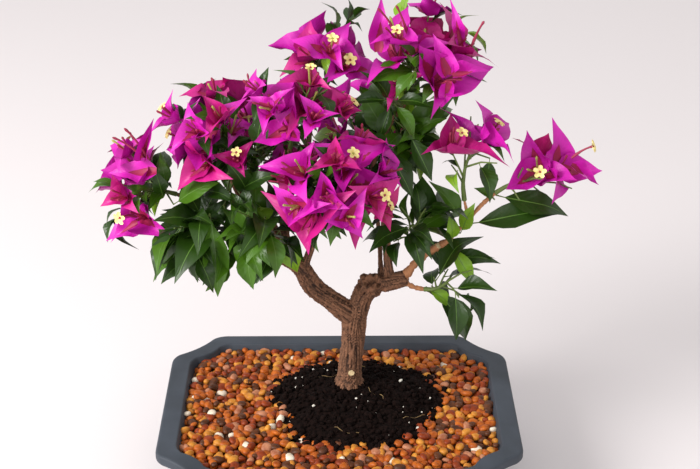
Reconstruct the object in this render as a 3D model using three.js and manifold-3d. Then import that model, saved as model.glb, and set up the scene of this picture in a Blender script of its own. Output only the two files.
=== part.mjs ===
// A bougainvillea grown as a small bonsai in a shallow octagonal tray: the tray, its growing mix and
// gravel, a forked trunk with its limbs, and fifteen masses of leaves and bracts.
// Millimetres, +Z up. The origin is the centre of the tray's flat underside, and -Y is the front.
import * as THREE from "three";
import { mergeVertices } from "three/addons/utils/BufferGeometryUtils.js";
import Module from "manifold-3d";

const wasm = await Module();
wasm.setup();

// ---------------------------------------------------------------- driving dimensions
const CLEARANCE = 0.3; // between two solids that touch on the real plant

const TRAY = {
  width: 280,
  depth: 219,
  height: 70,
  corner: 37, // how far each corner is cut back along both sides
  dent: 2.5, // how far a cut corner bows inwards
  rounding: 7,
  // inset and height of each edge, from the foot to the rim outside and from the floor to the rim inside
  outside: [[33, 0], [31, 1.5], [11, 59], [2, 61], [0, 63], [0, 67.5], [0.7, 69.2], [2.5, 70]],
  inside: [[37, 4], [16, 68.5], [14.5, 70]],
};

const MIX_LEVEL = 58;
const MOUND = {
  x: 14,
  y: 8,
  radius: [70, 71],
  plateau: 17,
  sides: 20,
  wall: [54, 64.5], // its edge stands upright between these heights
  // how far out each ring of its slope stands, from the plateau (0) to the edge (1), and its height
  slope: [[0.86, 66.8], [0.62, 70.4], [0.34, 73.6], [0, 76]],
  lump: 1.2, // how far its lumps stand over the slope, and its dips below it
};
// The gravel is a level bed, and most of its top is a sheet of low bumps, each as wide as two pebbles.
const GRAVEL = {
  level: 61.6,
  dip: 63.2,
  bump: 66.6,
  spacing: 13.5, // between the points of the sheet, which are bumps and dips by turns
  uneven: 1.4, // how far a point may stand to any side of its place
  edge: 21, // the sheet keeps this far in from the tray's outline
  corner: 42, // and is cut back by this much at each corner
  seed: 11,
};

// Each limb is one tapering tube: the limb that it grows on, the points that it bends through, the
// first one inside that limb, and its radius at both ends. A knob is where a swelling sits, how far it
// spreads and how much it adds, and a flare is how much the foot is widened and how fast that fades.
const LIMBS = {
  trunk: {
    path: [[8, 19, 76.3], [8.6, 19, 90], [11, 19, 115], [12, 19, 132], [15, 19, 148]],
    radius: [9.6, 8.6],
    sides: 10,
    rings: 10,
    flare: [0.35, 14],
    knob: [0.72, 0.16, 0.1],
  },
  bough_right: {
    on: "trunk",
    path: [[14, 19, 140], [19, 18.5, 157], [27, 18, 166], [38, 16.5, 168.5], [53, 15, 173.5]],
    radius: [8.6, 6.4],
    sides: 9,
    rings: 9,
    knob: [0.42, 0.13, 0.22],
  },
  bough_left: {
    on: "trunk",
    path: [[12, 19, 136], [-5, 17, 152], [-20, 15, 166], [-30, 12, 185], [-43, 10, 196], [-58, 8, 203]],
    radius: [8.8, 6.2],
    sides: 9,
    rings: 10,
  },
  bough_left_low: {
    on: "bough_left",
    path: [[-52, 8, 201], [-68, 6, 208], [-84, 3, 213]],
    radius: [4.6, 2.6],
  },
  bough_left_tip: {
    on: "bough_left_low",
    path: [[-70, 6, 208], [-88, 14, 228], [-108, 14, 240], [-122, 9, 248]],
    radius: [2.7, 1.8],
  },
  bough_left_upper: {
    on: "bough_left",
    path: [[-53, 8, 202], [-66, 14, 226], [-76, 14, 248], [-82, 12, 264]],
    radius: [4.2, 2.2],
  },
  bough_left_inner: {
    on: "bough_left",
    path: [[-46, 9, 198], [-50, 0, 206], [-53, -10, 216]],
    radius: [3.2, 2],
  },
  bough_centre: {
    on: "bough_left",
    path: [[-40, 10, 194], [-42, 16, 228], [-38, 16, 262], [-36, 12, 284]],
    radius: [4.2, 2.2],
  },
  bough_centre_low: {
    on: "bough_left",
    path: [[-28, 12, 182], [-20, 6, 208], [-16, -4, 230]],
    radius: [3.6, 2],
  },
  bough_top_left: {
    on: "bough_centre",
    path: [[-41, 16, 236], [-26, 26, 270], [-20, 32, 300], [-19, 33, 322]],
    radius: [2.6, 1.8],
  },
  bough_back_left: {
    on: "bough_left",
    path: [[-36, 11, 190], [-50, 34, 208], [-60, 48, 228]],
    radius: [3.6, 2.2],
  },
  stem_upright: {
    on: "bough_right",
    path: [[40, 16.5, 166], [37, 20, 200], [35, 24, 236], [40, 34, 256]],
    radius: [4, 2.4],
  },
  stem_top: {
    on: "stem_upright",
    path: [[35.2, 22.8, 228], [26, 18, 262], [36, 18, 296], [50, 22, 316]],
    radius: [2.3, 1.6],
  },
  bough_back_right: {
    on: "bough_right",
    path: [[33, 17, 168], [32, 42, 196], [28, 62, 226]],
    radius: [3.6, 2.2],
  },
  shoot_right: {
    on: "bough_right",
    path: [[50, 15, 173], [62, 14, 190], [76, 13, 201], [84, 12, 207]],
    radius: [3.4, 2.5],
  },
  shoot_right_tip: {
    on: "shoot_right",
    path: [[80, 12, 204], [96, 10, 222], [108, 9, 238], [118, 9, 248]],
    radius: [1.9, 1.4],
  },
  shoot_right_stalk: {
    on: "shoot_right_tip",
    path: [[95, 10, 221], [97, 8, 232], [95, 7, 243]],
    radius: [1.3, 1],
  },
  shoot_right_inner: {
    on: "shoot_right",
    path: [[66, 14, 194], [62, 9, 201], [58, 6, 208]],
    radius: [1.9, 1.5],
  },
  shoot_right_low: {
    on: "bough_right",
    path: [[49, 15, 171], [58, 10, 168], [66, 6, 168]],
    radius: [2.2, 1.6],
  },
};

// Each mass of foliage: the limb that its stem grows on from, the middle and half-sizes of the space
// that it keeps to, its leafy shoots, its leaves' usual length, and its flower heads, each as steps
// from the middle to the right, to the back and up, and a size.
const MASSES = {
  foliage_left_tip: {
    on: "bough_left_tip", middle: [-148, 4, 254], reach: [42, 50, 52],
    shoots: 5, leaf: 34, seed: 42,
    heads: [[-4, -9, 26, 1.1], [18, -24, 24, 1], [-10, 0, 2, 0.7], [-6, -27, -14, 1.15], [-6, 26, 10, 1]],
  },
  foliage_left_low: {
    on: "bough_left_low", middle: [-104, -10, 227], reach: [55, 55, 50],
    shoots: 12, leaf: 50, seed: 37,
    heads: [],
  },
  foliage_left_inner: {
    on: "bough_left_inner", middle: [-58, -24, 238], reach: [48, 50, 50],
    shoots: 9, leaf: 50, seed: 50,
    heads: [],
  },
  foliage_left_upper: {
    on: "bough_left_upper", middle: [-94, 6, 296], reach: [52, 58, 50],
    shoots: 4, leaf: 37, seed: 57,
    heads: [[-8, -26, 12, 1.1], [-26, -10, 0, 0.9], [12, -24, 32, 1.25], [-8, -36, -8, 0.9],
      [20, -34, -4, 0.6], [-12, 30, 14, 1], [18, 32, 24, 1]],
  },
  foliage_centre_left: {
    on: "bough_centre", middle: [-30, -4, 320], reach: [50, 56, 50],
    shoots: 3, leaf: 36, seed: 29,
    heads: [[-14, -12, 14, 0.95], [-12, -28, -2, 1], [22, -20, 6, 1.15], [10, -10, 16, 1.05],
      [-4, 30, 0, 1]],
  },
  foliage_centre_low: {
    on: "bough_centre_low", middle: [-8, -24, 272], reach: [60, 58, 58],
    shoots: 5, leaf: 40, seed: 20,
    heads: [[-25, -26, 24, 1.2], [-19, -34, -14, 1.35], [14, -16, 28, 1.1], [20, -26, 12, 1.15],
      [20, -10, -14, 1.1]],
  },
  foliage_top_left: {
    on: "bough_top_left", middle: [-12, 28, 356], reach: [58, 54, 40],
    shoots: 3, leaf: 30, seed: 41,
    heads: [[-14, -8, 4, 1], [-26, -18, -6, 0.85], [6, -6, 2, 0.65], [20, -22, 0, 1.15], [-16, 24, 0, 1],
      [16, 24, 0, 1]],
  },
  foliage_top: {
    on: "stem_top", middle: [64, 20, 354], reach: [58, 56, 50],
    shoots: 5, leaf: 38, seed: 39,
    heads: [[-26, -15, 14, 1.15], [0, -4, 18, 1.1], [15, -36, -4, 1.35], [28, -10, 14, 1.1],
      [-22, -12, -16, 0.7], [8, 32, 8, 1], [-24, 28, 2, 1]],
  },
  foliage_centre: {
    on: "stem_upright", middle: [48, 36, 288], reach: [50, 54, 54],
    shoots: 12, leaf: 48, seed: 32,
    heads: [],
  },
  foliage_right_stalk: {
    on: "shoot_right_stalk", middle: [98, 4, 284], reach: [46, 46, 50],
    shoots: 3, leaf: 34, seed: 42,
    heads: [[-14, -4, 16, 1.2], [20, -1, 20, 1.15], [4, 20, 8, 0.9]],
  },
  foliage_right_tip: {
    on: "shoot_right_tip", middle: [152, 8, 258], reach: [52, 50, 44],
    shoots: 6, leaf: 54, seed: 18,
    heads: [[-10, -12, 28, 1.15], [18, -8, 20, 1.2], [4, 24, 16, 1]],
  },
  foliage_right_inner: {
    on: "shoot_right_inner", middle: [60, 0, 229], reach: [54, 48, 40],
    shoots: 8, leaf: 46, seed: 29,
    heads: [],
  },
  foliage_right_low: {
    on: "shoot_right_low", middle: [86, 0, 180], reach: [44, 46, 50],
    shoots: 7, leaf: 50, seed: 17,
    heads: [],
  },
  foliage_back_left: {
    on: "bough_back_left", middle: [-64, 72, 262], reach: [54, 50, 58],
    shoots: 5, leaf: 44, seed: 36,
    heads: [[0, 28, 10, 1.1], [-30, 16, 18, 1], [28, 16, 24, 1], [-34, 0, -6, 1], [4, 10, 34, 1]],
  },
  foliage_back_right: {
    on: "bough_back_right", middle: [22, 90, 262], reach: [50, 48, 56],
    shoots: 5, leaf: 44, seed: 16,
    heads: [[0, 26, 10, 1.1], [28, 10, 18, 1], [-26, 16, 26, 1], [30, 4, -6, 1]],
  },
};

const STEM = { radius: [2, 1.5], sides: 4 };
const SHOOT = {
  radius: [0.95, 0.75],
  sides: 3,
  first: 0.3, // how far along the stem the lowest shoot leaves it
  span: 0.67, // the share of the stem that all the shoots leave from
  arch: 0.07, // how far a leafy shoot's middle is raised, as a share of its length
  spread: 0.95, // how near straight up and straight down the leafy shoots point
  least: 8,
};

// A blade's lengths are shares of its own length. It folds up along its rib and its tip curls down.
const LEAF = {
  aspect: 0.52,
  wide: 0.42, // where it is widest
  fold: 0.08,
  curl: 0.14,
  thick: 0.035,
  spacing: 9, // along a shoot, in millimetres
  apart: 7.4, // least distance between two blades' marks, in millimetres
  sizes: [0.75, 1.25],
  onShoot: [0.26, 0.7], // where along a leafy shoot its leaves start, and the share that they take
  underHead: [0.2, 0.6], // the same on a flowering shoot
  headSize: 0.8, // leaves on a flowering shoot are this much smaller
  lean: { shoot: 0.55, outwards: 0.35, down: 0.45 }, // how far a leaf leans each way from its shoot
  tilt: 0.55, // how far its face turns outwards
};
const BRACT = {
  length: 34,
  aspect: 0.76,
  wide: 0.48,
  fold: 0.1,
  curl: 0.08,
  step: 0.06, // each bract of a head is longer than the one before
  open: 0.74, // angle between a bract and its head's axis
  looseness: [0.3, 0.12],
  sunk: 1.5, // depth of the root in the shoot's end, in millimetres
  throat: 4, // height of the hollow's floor, in millimetres
};
const HEAD_AIM = { mass: 0.7, crown: 0.6, up: 0.15 }; // away from its mass's middle and the crown's, and up
const HEAD_SET_BACK = 0.4; // how far a head's root lies behind its middle, as a share of a bract
const HEAD_TOP = [0.1, 0.2, 1]; // the side that a head's first bract is turned from
const CROWN_MIDDLE = [10, 20, 235];
const GOLDEN_ANGLE = Math.PI * (3 - Math.sqrt(5));
const LEAF_TURNS = [0, 1.2, -1.2, 2.4, -2.4]; // a leaf that doesn't fit is tried turned round its shoot
const SHRINKS = [1, 0.85, 0.7, 0.58]; // and a blade that doesn't fit is tried smaller
const LIMB_CLEAR = 0.8; // a twig or leaf keeps this far from every limb
const SPACE_CLEAR = 0.25; // and this far from the flat walls of its mass's space
const FUSE_TOLERANCE = 0.1; // slivers finer than this, left where blades cross, are merged away

const FINISH = {
  tray: { color: 0x484b52, roughness: 0.55, metalness: 0 },
  mix: { color: 0x1d1512, roughness: 0.95, metalness: 0 },
  gravel: { color: 0xa8602c, roughness: 0.6, metalness: 0 },
  bark: { color: 0x7a5f49, roughness: 0.9, metalness: 0 },
  youngBark: { color: 0xa56f45, roughness: 0.8, metalness: 0 },
  foliage: { color: 0x2c5a22, roughness: 0.45, metalness: 0 },
  blossom: { color: 0xc31f9e, roughness: 0.6, metalness: 0 },
};

// ---------------------------------------------------------------- small helpers
const vec = (p) => new THREE.Vector3(...p);
const UP = new THREE.Vector3(0, 0, 1);

// The same sequence of numbers from 0 to 1 for the same seed.
function seeded(seed) {
  let state = seed * 7919;
  return () => {
    state = (state * 48271) % 2147483647;
    return state / 2147483647;
  };
}

function solidOf(geometry) {
  const bare = geometry.clone();
  bare.deleteAttribute("normal");
  bare.deleteAttribute("uv");
  const merged = mergeVertices(bare, 1e-3);
  return new wasm.Manifold(
    new wasm.Mesh({
      numProp: 3,
      vertProperties: merged.attributes.position.array,
      triVerts: new Uint32Array(merged.index.array),
    }),
  );
}

function geometryOf(solid) {
  const mesh = solid.getMesh();
  const positions = new Float32Array(mesh.numVert * 3);
  for (let i = 0; i < mesh.numVert; i++) {
    const at = i * mesh.numProp;
    positions.set(mesh.vertProperties.subarray(at, at + 3), i * 3);
  }
  const geometry = new THREE.BufferGeometry();
  geometry.setAttribute("position", new THREE.BufferAttribute(positions, 3));
  geometry.setIndex(new THREE.BufferAttribute(new Uint32Array(mesh.triVerts), 1));
  geometry.computeVertexNormals();
  return geometry;
}

function largestBody(solid) {
  return solid.decompose().reduce((a, b) => (b.volume() > a.volume() ? b : a));
}

// A closed skin through rings of equal length, with a cap on the first and the last.
function loft(rings) {
  const count = rings[0].length;
  const positions = [];
  const faces = [];
  for (const ring of rings) for (const p of ring) positions.push(p.x, p.y, p.z);
  for (let r = 0; r + 1 < rings.length; r++) {
    for (let i = 0; i < count; i++) {
      const j = (i + 1) % count;
      const [a, b, c, d] = [r * count + i, r * count + j, (r + 1) * count + i, (r + 1) * count + j];
      faces.push(a, b, d, a, d, c);
    }
  }
  const caps = [[rings[0], 0, true], [rings.at(-1), (rings.length - 1) * count, false]];
  for (const [ring, first, turn] of caps) {
    if (count === 3) {
      faces.push(first, first + (turn ? 2 : 1), first + (turn ? 1 : 2));
      continue;
    }
    const centre = ring.reduce((sum, p) => sum.add(p), new THREE.Vector3()).divideScalar(count);
    const hub = positions.length / 3;
    positions.push(centre.x, centre.y, centre.z);
    for (let i = 0; i < count; i++) {
      const j = (i + 1) % count;
      faces.push(hub, first + (turn ? j : i), first + (turn ? i : j));
    }
  }
  const geometry = new THREE.BufferGeometry();
  geometry.setAttribute("position", new THREE.Float32BufferAttribute(positions, 3));
  geometry.setIndex(faces);
  return geometry;
}

// A unit vector square to along, as near to towards as it can be.
function squareTo(along, towards) {
  return towards.clone().addScaledVector(along, -towards.dot(along)).normalize();
}

// A point a share of the way along a chain of straight steps, and the way that the chain runs there.
function onChain(points, share) {
  const at = Math.min(share, 1) * (points.length - 1);
  const i = Math.min(Math.floor(at), points.length - 2);
  const way = points[i + 1].clone().sub(points[i]).normalize();
  return { point: points[i].clone().lerp(points[i + 1], at - i), way };
}

// Rings round a chain of points. The first ring faces firstWay, where one is given.
function tubeRings(points, radii, sides, firstWay, unevenness = () => 1) {
  const last = points.length - 1;
  let normal = null;
  return points.map((centre, r) => {
    const ahead = points[Math.min(r + 1, last)].clone().sub(points[Math.max(r - 1, 0)]).normalize();
    const way = r === 0 && firstWay ? firstWay : ahead;
    normal = squareTo(way, normal ?? (Math.abs(way.z) > 0.9 ? new THREE.Vector3(1, 0, 0) : UP));
    const other = way.clone().cross(normal);
    return Array.from({ length: sides }, (_, i) => {
      const angle = (i * 2 * Math.PI) / sides;
      const radius = radii[r] * unevenness(angle, r);
      return centre.clone()
        .addScaledVector(normal, radius * Math.cos(angle))
        .addScaledVector(other, radius * Math.sin(angle));
    });
  });
}

// ---------------------------------------------------------------- tray, mix and gravel
// Where the curve of a cut corner is drawn towards, so that it bows towards the tray's middle.
function dentPoint(a, b) {
  const middle = a.clone().add(b).multiplyScalar(0.5);
  return middle.sub(middle.clone().normalize().multiplyScalar(2 * TRAY.dent));
}

// The tray's octagon, taken in by an inset, at one height.
function trayRing([inset, z]) {
  const x = TRAY.width / 2 - inset;
  const y = TRAY.depth / 2 - inset;
  const cut = TRAY.corner - inset * (2 - Math.SQRT2);
  const corners = [
    [x, cut - y], [x, y - cut], [x - cut, y], [cut - x, y],
    [-x, y - cut], [-x, cut - y], [cut - x, -y], [x - cut, -y],
  ].map(([px, py]) => new THREE.Vector2(px, py));
  const roundedFrom = (corner, towards) => towards.clone().sub(corner).setLength(TRAY.rounding).add(corner);
  const outline = new THREE.Path();
  corners.forEach((corner, i) => {
    const before = corners.at(i - 1);
    const start = roundedFrom(corner, before);
    const end = roundedFrom(corner, corners[(i + 1) % corners.length]);
    const dent = dentPoint(before, corner);
    if (i === 0) outline.moveTo(start.x, start.y);
    else if (i % 2 === 0) outline.quadraticCurveTo(dent.x, dent.y, start.x, start.y);
    else outline.lineTo(start.x, start.y);
    outline.quadraticCurveTo(corner.x, corner.y, end.x, end.y);
  });
  const dent = dentPoint(corners[0], corners.at(-1));
  const start = roundedFrom(corners[0], corners.at(-1));
  outline.quadraticCurveTo(dent.x, dent.y, start.x, start.y);
  const points = outline.getPoints(2).slice(0, -1);
  return points.map((p) => new THREE.Vector3(p.x, p.y, z));
}

// The room inside the tray between two heights, kept clear of its walls.
function trayRoom(low, high, clear = CLEARANCE) {
  const [floor, shoulder] = TRAY.inside.map(([inset, z]) => trayRing([inset + clear, z]));
  return solidOf(loft([floor, shoulder])).trimByPlane([0, 0, 1], low).trimByPlane([0, 0, -1], -high);
}

function makeTray() {
  const [inset, top] = TRAY.inside.at(-1);
  const inside = solidOf(loft([...TRAY.inside, [inset, top + 1]].map(trayRing)));
  return geometryOf(solidOf(loft(TRAY.outside.map(trayRing))).subtract(inside));
}

// The mound's outline is a slightly uneven oval, and its slope is lumpy.
function moundRing(share, z, lump = 0) {
  return Array.from({ length: MOUND.sides }, (_, i) => {
    const angle = (i / MOUND.sides) * 2 * Math.PI;
    const uneven = 1 + 0.05 * Math.sin(3 * angle + 0.6) + 0.04 * Math.sin(5 * angle);
    const [rx, ry] = MOUND.radius.map((r) => MOUND.plateau + (r * uneven - MOUND.plateau) * share);
    const rise = i % 2 ? lump : -lump;
    return new THREE.Vector3(MOUND.x + rx * Math.cos(angle), MOUND.y + ry * Math.sin(angle), z + rise);
  });
}

function makeMound() {
  const [foot, edge] = MOUND.wall;
  const slope = MOUND.slope.map(([share, z], r) => {
    const flat = r === MOUND.slope.length - 1;
    return moundRing(share, z, flat ? 0 : MOUND.lump * (-1) ** r);
  });
  return solidOf(loft([moundRing(1, foot), moundRing(1, edge), ...slope]));
}

function makeMix() {
  return geometryOf(trayRoom(TRAY.inside[0][1] + CLEARANCE, MIX_LEVEL).add(makeMound()));
}

// A slab whose top is a grid of bumps and dips by turns. Its rim lies under the bed's top.
function bumpySlab(foot) {
  const random = seeded(GRAVEL.seed);
  const stray = () => GRAVEL.uneven * (2 * random() - 1);
  const [width, depth] = [TRAY.width, TRAY.depth].map((side) => side - 2 * GRAVEL.edge);
  const [columns, rows] = [width, depth].map((side) => Math.round(side / GRAVEL.spacing));
  const box = new THREE.BoxGeometry(width, depth, GRAVEL.level - foot, columns, rows, 1);
  const slab = geometryOf(solidOf(box));
  const points = slab.attributes.position;
  for (let i = 0; i < points.count; i++) {
    const [x, y, z] = [points.getX(i), points.getY(i), points.getZ(i)];
    const atRim = Math.abs(x) > width / 2 - 1 || Math.abs(y) > depth / 2 - 1;
    const cutBack = Math.abs(x) + Math.abs(y) > (width + depth) / 2 - GRAVEL.corner;
    const place = Math.round(((x + width / 2) * columns) / width + ((y + depth / 2) * rows) / depth);
    if (z < 0) points.setZ(i, foot + 1);
    else if (atRim || cutBack) points.setZ(i, GRAVEL.level - 1);
    else points.setXYZ(i, x + stray(), y + stray(), (place % 2 ? GRAVEL.bump : GRAVEL.dip) + stray());
  }
  return solidOf(slab);
}

function makeGravel() {
  const foot = MIX_LEVEL + CLEARANCE;
  const bumps = bumpySlab(foot).intersect(trayRoom(foot, TRAY.inside[1][1], 2 * CLEARANCE));
  const bed = trayRoom(foot, GRAVEL.level).add(bumps);
  const out = 1 + CLEARANCE / MOUND.radius[0];
  const mound = solidOf(loft([moundRing(out, MOUND.wall[0]), moundRing(out, TRAY.height)]));
  return geometryOf(largestBody(bed.subtract(mound)));
}

// ---------------------------------------------------------------- trunk and limbs
// The points that a limb's rings stand round, on a smooth curve through its path.
function limbChain(name) {
  const { path, rings = 5 } = LIMBS[name];
  return new THREE.CatmullRomCurve3(path.map(vec), false, "catmullrom", 0.5).getPoints(rings);
}

// A limb's radius along its length. Bark without a knob swells slightly, over and over.
function limbRadius(name, t) {
  const { radius: [start, end], flare: [widened, fade] = [0, 0], knob } = LIMBS[name];
  const plain = start + (end - start) * t;
  if (!knob) return plain * (1 + 0.04 * Math.sin(t * 19));
  const [where, spread, added] = knob;
  return plain * (1 + widened * Math.exp(-t * fade) + added * Math.exp(-(((t - where) / spread) ** 2)));
}

// A limb's solid, or the same grown on all sides to cut back what touches it.
function limbSolid(name, grow = 0) {
  const { sides = 6 } = LIMBS[name];
  const points = limbChain(name);
  const radii = points.map((_, r) => limbRadius(name, r / (points.length - 1)) + grow);
  const foot = name === "trunk" ? UP : points[1].clone().sub(points[0]).normalize();
  points[0].addScaledVector(foot, -grow);
  points.at(-1).addScaledVector(onChain(points, 1).way, grow);
  const ribs = (angle, r) => 1 + (sides > 8 ? 0.05 * Math.sin(3 * angle + 5 * r) : 0);
  return solidOf(loft(tubeRings(points, radii, sides, foot, ribs)));
}

// A limb's foot is cut back to the limb that it grows from, and to every earlier one that it passes.
function makeLimbs() {
  const made = {};
  for (const [name, limb] of Object.entries(LIMBS)) {
    let solid = limbSolid(name);
    for (const other of Object.keys(made)) solid = solid.subtract(limbSolid(other, CLEARANCE));
    if (limb.on && !made[limb.on]) throw new Error(`${name} grows on ${limb.on}, which comes later`);
    made[name] = largestBody(solid);
  }
  return made;
}

// ---------------------------------------------------------------- twigs, leaves and bracts
// What a twig or leaf keeps clear of: every limb, and every other mass's stem.
const obstacles = [
  ...Object.keys(LIMBS).map((name) => {
    const points = limbChain(name);
    return { points, radii: points.map((_, i) => limbRadius(name, i / (points.length - 1))) };
  }),
  ...Object.values(MASSES).map((mass) => {
    const points = stemChain(mass);
    return { owner: mass, points, radii: points.map(() => STEM.radius[0]) };
  }),
];

function clearOfLimbs(mass, p, clear) {
  for (const { owner, points, radii } of obstacles) {
    if (owner === mass) continue;
    for (let i = 0; i + 1 < points.length; i++) {
      const along = points[i + 1].clone().sub(points[i]);
      const t = THREE.MathUtils.clamp(p.clone().sub(points[i]).dot(along) / along.lengthSq(), 0, 1);
      const gap = points[i].clone().addScaledVector(along, t).distanceTo(p);
      if (gap < Math.max(radii[i], radii[i + 1]) + clear) return false;
    }
  }
  return true;
}

// The larger a mass, the further its walls stand from its middle.
const weight = (mass) => ((mass.reach[0] + mass.reach[1] + mass.reach[2]) / 3) ** 2;

// A mass's space is its oval, cut by flat walls from the masses beside it, so it is convex: a leaf
// whose corners are all inside is inside.
function inSpace(mass, p, margin = 0) {
  const [x, y, z] = p.toArray().map((c, k) => (c - mass.middle[k]) / (mass.reach[k] - margin));
  if (x * x + y * y + z * z > 1) return false;
  const own = vec(mass.middle).distanceToSquared(p) - weight(mass);
  for (const other of Object.values(MASSES)) {
    if (other === mass) continue;
    const apart = vec(mass.middle).distanceTo(vec(other.middle));
    const theirs = vec(other.middle).distanceToSquared(p) - weight(other);
    if (own > theirs - 2 * apart * (SPACE_CLEAR + margin)) return false;
  }
  return true;
}

// How far the space reaches from a point in a direction.
function reachIn(mass, from, way) {
  let far = 0;
  while (inSpace(mass, from.clone().addScaledVector(way, far + 1))) far += 1;
  return far;
}

// A folded blade's corners: its sides and its rib where it is widest, and its tip.
function bladeCorners({ base, along, face, length, width }, { wide, fold, curl }) {
  const side = face.clone().cross(along);
  const at = (u, v, lift) =>
    base.clone().addScaledVector(along, u * length).addScaledVector(side, v * width)
      .addScaledVector(face, lift * length);
  const drop = -wide * wide * curl;
  return {
    right: at(wide, -0.5, fold + drop),
    tip: at(1, 0, -curl),
    left: at(wide, 0.5, fold + drop),
    rib: at(wide, 0, drop),
  };
}

// A blade fits when marks all over it, apart from its root, are in the space and off the limbs.
function bladeFits(mass, { right, tip, left, rib }) {
  const between = (a, b) => a.clone().lerp(b, 0.5);
  const marks = [right, tip, left, rib, between(right, tip), between(left, tip), between(rib, tip)];
  return marks.every((p) => inSpace(mass, p) && clearOfLimbs(mass, p, LIMB_CLEAR));
}

function leafSolid({ place, corners }) {
  const { base, face, length } = place;
  const { right, tip, left } = corners;
  const under = base.clone().lerp(tip, LEAF.wide).addScaledVector(face, -LEAF.thick * length);
  const points = [base, right, tip, left, under];
  const geometry = new THREE.BufferGeometry();
  geometry.setAttribute("position", new THREE.Float32BufferAttribute(points.flatMap((p) => p.toArray()), 3));
  geometry.setIndex([0, 1, 3, 1, 2, 3, 1, 0, 4, 2, 1, 4, 3, 2, 4, 0, 3, 4]);
  return solidOf(geometry);
}

// The bracts of a flower head are one skin, fanned out from its throat and closed by its base.
function headSolid({ base, way, bracts }) {
  const rim = bracts.flatMap(({ corners }) => [corners.right, corners.tip, corners.left]);
  const throat = base.clone().addScaledVector(way, BRACT.throat);
  const geometry = new THREE.BufferGeometry();
  const points = [...rim, throat, base];
  geometry.setAttribute("position", new THREE.Float32BufferAttribute(points.flatMap((p) => p.toArray()), 3));
  geometry.setIndex(rim.flatMap((_, i) => {
    const j = (i + 1) % rim.length;
    return [i, j, rim.length, j, i, rim.length + 1];
  }));
  return solidOf(geometry);
}

function twigSolid({ points, radius: [start, end], sides, firstWay }) {
  const radii = points.map((_, r) => start + ((end - start) * r) / (points.length - 1));
  return solidOf(loft(tubeRings(points, radii, sides, firstWay)));
}

// The stem of a mass goes from just clear of its limb's tip to its middle.
function stemChain(mass) {
  const { point: tip, way } = onChain(limbChain(mass.on), 1);
  const middle = vec(mass.middle);
  const start = tip.clone().addScaledVector(way, CLEARANCE);
  const bend = start.clone().addScaledVector(way, start.distanceTo(middle) / 2);
  return new THREE.QuadraticBezierCurve3(start, bend, middle).getPoints(3);
}

// The rule that every mass grows by. Shoots leave the stem for its flower heads, and for points near
// the wall of its space, spread evenly by the golden angle.
function growMass(mass) {
  const random = seeded(mass.seed);
  const middle = vec(mass.middle);
  const stem = stemChain(mass);
  const axis = middle.clone().sub(stem[0]);
  const firstWay = onChain(limbChain(mass.on), 1).way;
  const grown = {
    twigs: [{ points: stem, radius: STEM.radius, sides: STEM.sides, firstWay }],
    leaves: [],
    heads: [],
  };

  const aims = mass.heads.map(([right, back, up, size]) => {
    const centre = middle.clone().add(new THREE.Vector3(right, back, up));
    const way = centre.clone().sub(middle).normalize().multiplyScalar(HEAD_AIM.mass)
      .add(centre.clone().sub(vec(CROWN_MIDDLE)).normalize().multiplyScalar(HEAD_AIM.crown))
      .addScaledVector(UP, HEAD_AIM.up).normalize();
    return { way, size, end: centre.addScaledVector(way, -BRACT.length * size * HEAD_SET_BACK) };
  });
  const turn = random() * 2 * Math.PI;
  for (let k = 0; k < mass.shoots; k++) {
    const lift = ((2 * (k + 0.5)) / mass.shoots - 1) * SHOOT.spread;
    const azimuth = turn + k * GOLDEN_ANGLE;
    const level = Math.sqrt(1 - lift * lift);
    const way = new THREE.Vector3(level * Math.cos(azimuth), level * Math.sin(azimuth), lift);
    const far = Math.max(reachIn(mass, middle, way) - mass.leaf / 2, SHOOT.least);
    aims.push({ way, size: 0, end: middle.clone().addScaledVector(way, far) });
  }
  // the lowest shoots leave the stem first
  aims.sort((a, b) => a.end.dot(axis) - b.end.dot(axis));

  const shoots = [];
  aims.forEach(({ way, size, end }, rank) => {
    const from = onChain(stem, SHOOT.first + (SHOOT.span * (rank + 0.5)) / aims.length).point;
    const arch = from.clone().lerp(end, 0.5).addScaledVector(UP, from.distanceTo(end) * SHOOT.arch);
    const points = size ? [from, end] : [from, arch, end];
    const draws = [random(), random(), random()];
    const fits = [0.4, 0.6, 0.8, 1].every((t) => {
      const p = onChain(points, t).point;
      return inSpace(mass, p, SHOOT.radius[0]) && clearOfLimbs(mass, p, LIMB_CLEAR + SHOOT.radius[0]);
    });
    if (!fits) return;
    grown.twigs.push({ points, radius: SHOOT.radius, sides: SHOOT.sides });
    shoots.push({ points, way, size, turn: draws[0] * 2 * Math.PI });
    if (size) addHead(mass, grown, end, way, size, draws);
  });
  for (const shoot of shoots) addLeaves(mass, grown, shoot, random);
  return grown;
}

// Three bracts stand round the shoot's end and open outwards. A head with one that never fits is
// left out.
function addHead(mass, grown, end, way, size, draws) {
  const first = squareTo(way, vec(HEAD_TOP));
  const second = way.clone().cross(first);
  const base = end.clone().addScaledVector(way, -BRACT.sunk);
  const bracts = [0, 1, 2].map((k) => {
    const angle = ((k + draws[0]) * 2 * Math.PI) / 3;
    const out = first.clone().multiplyScalar(Math.cos(angle)).addScaledVector(second, Math.sin(angle));
    const [shared, own] = BRACT.looseness;
    const open = BRACT.open + shared * (draws[1] - 0.5) + own * (k - 1) * draws[2];
    const along = way.clone().multiplyScalar(Math.cos(open)).addScaledVector(out, Math.sin(open));
    const face = squareTo(along, way);
    return SHRINKS.map((shrink) => {
      const length = BRACT.length * size * (1 + BRACT.step * (k - 1)) * shrink;
      const place = { base, along, face, length, width: length * BRACT.aspect };
      return { place, corners: bladeCorners(place, BRACT) };
    }).find(({ corners }) => bladeFits(mass, corners));
  });
  if (bracts.every(Boolean)) grown.heads.push({ base, way, size, bracts });
}

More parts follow.
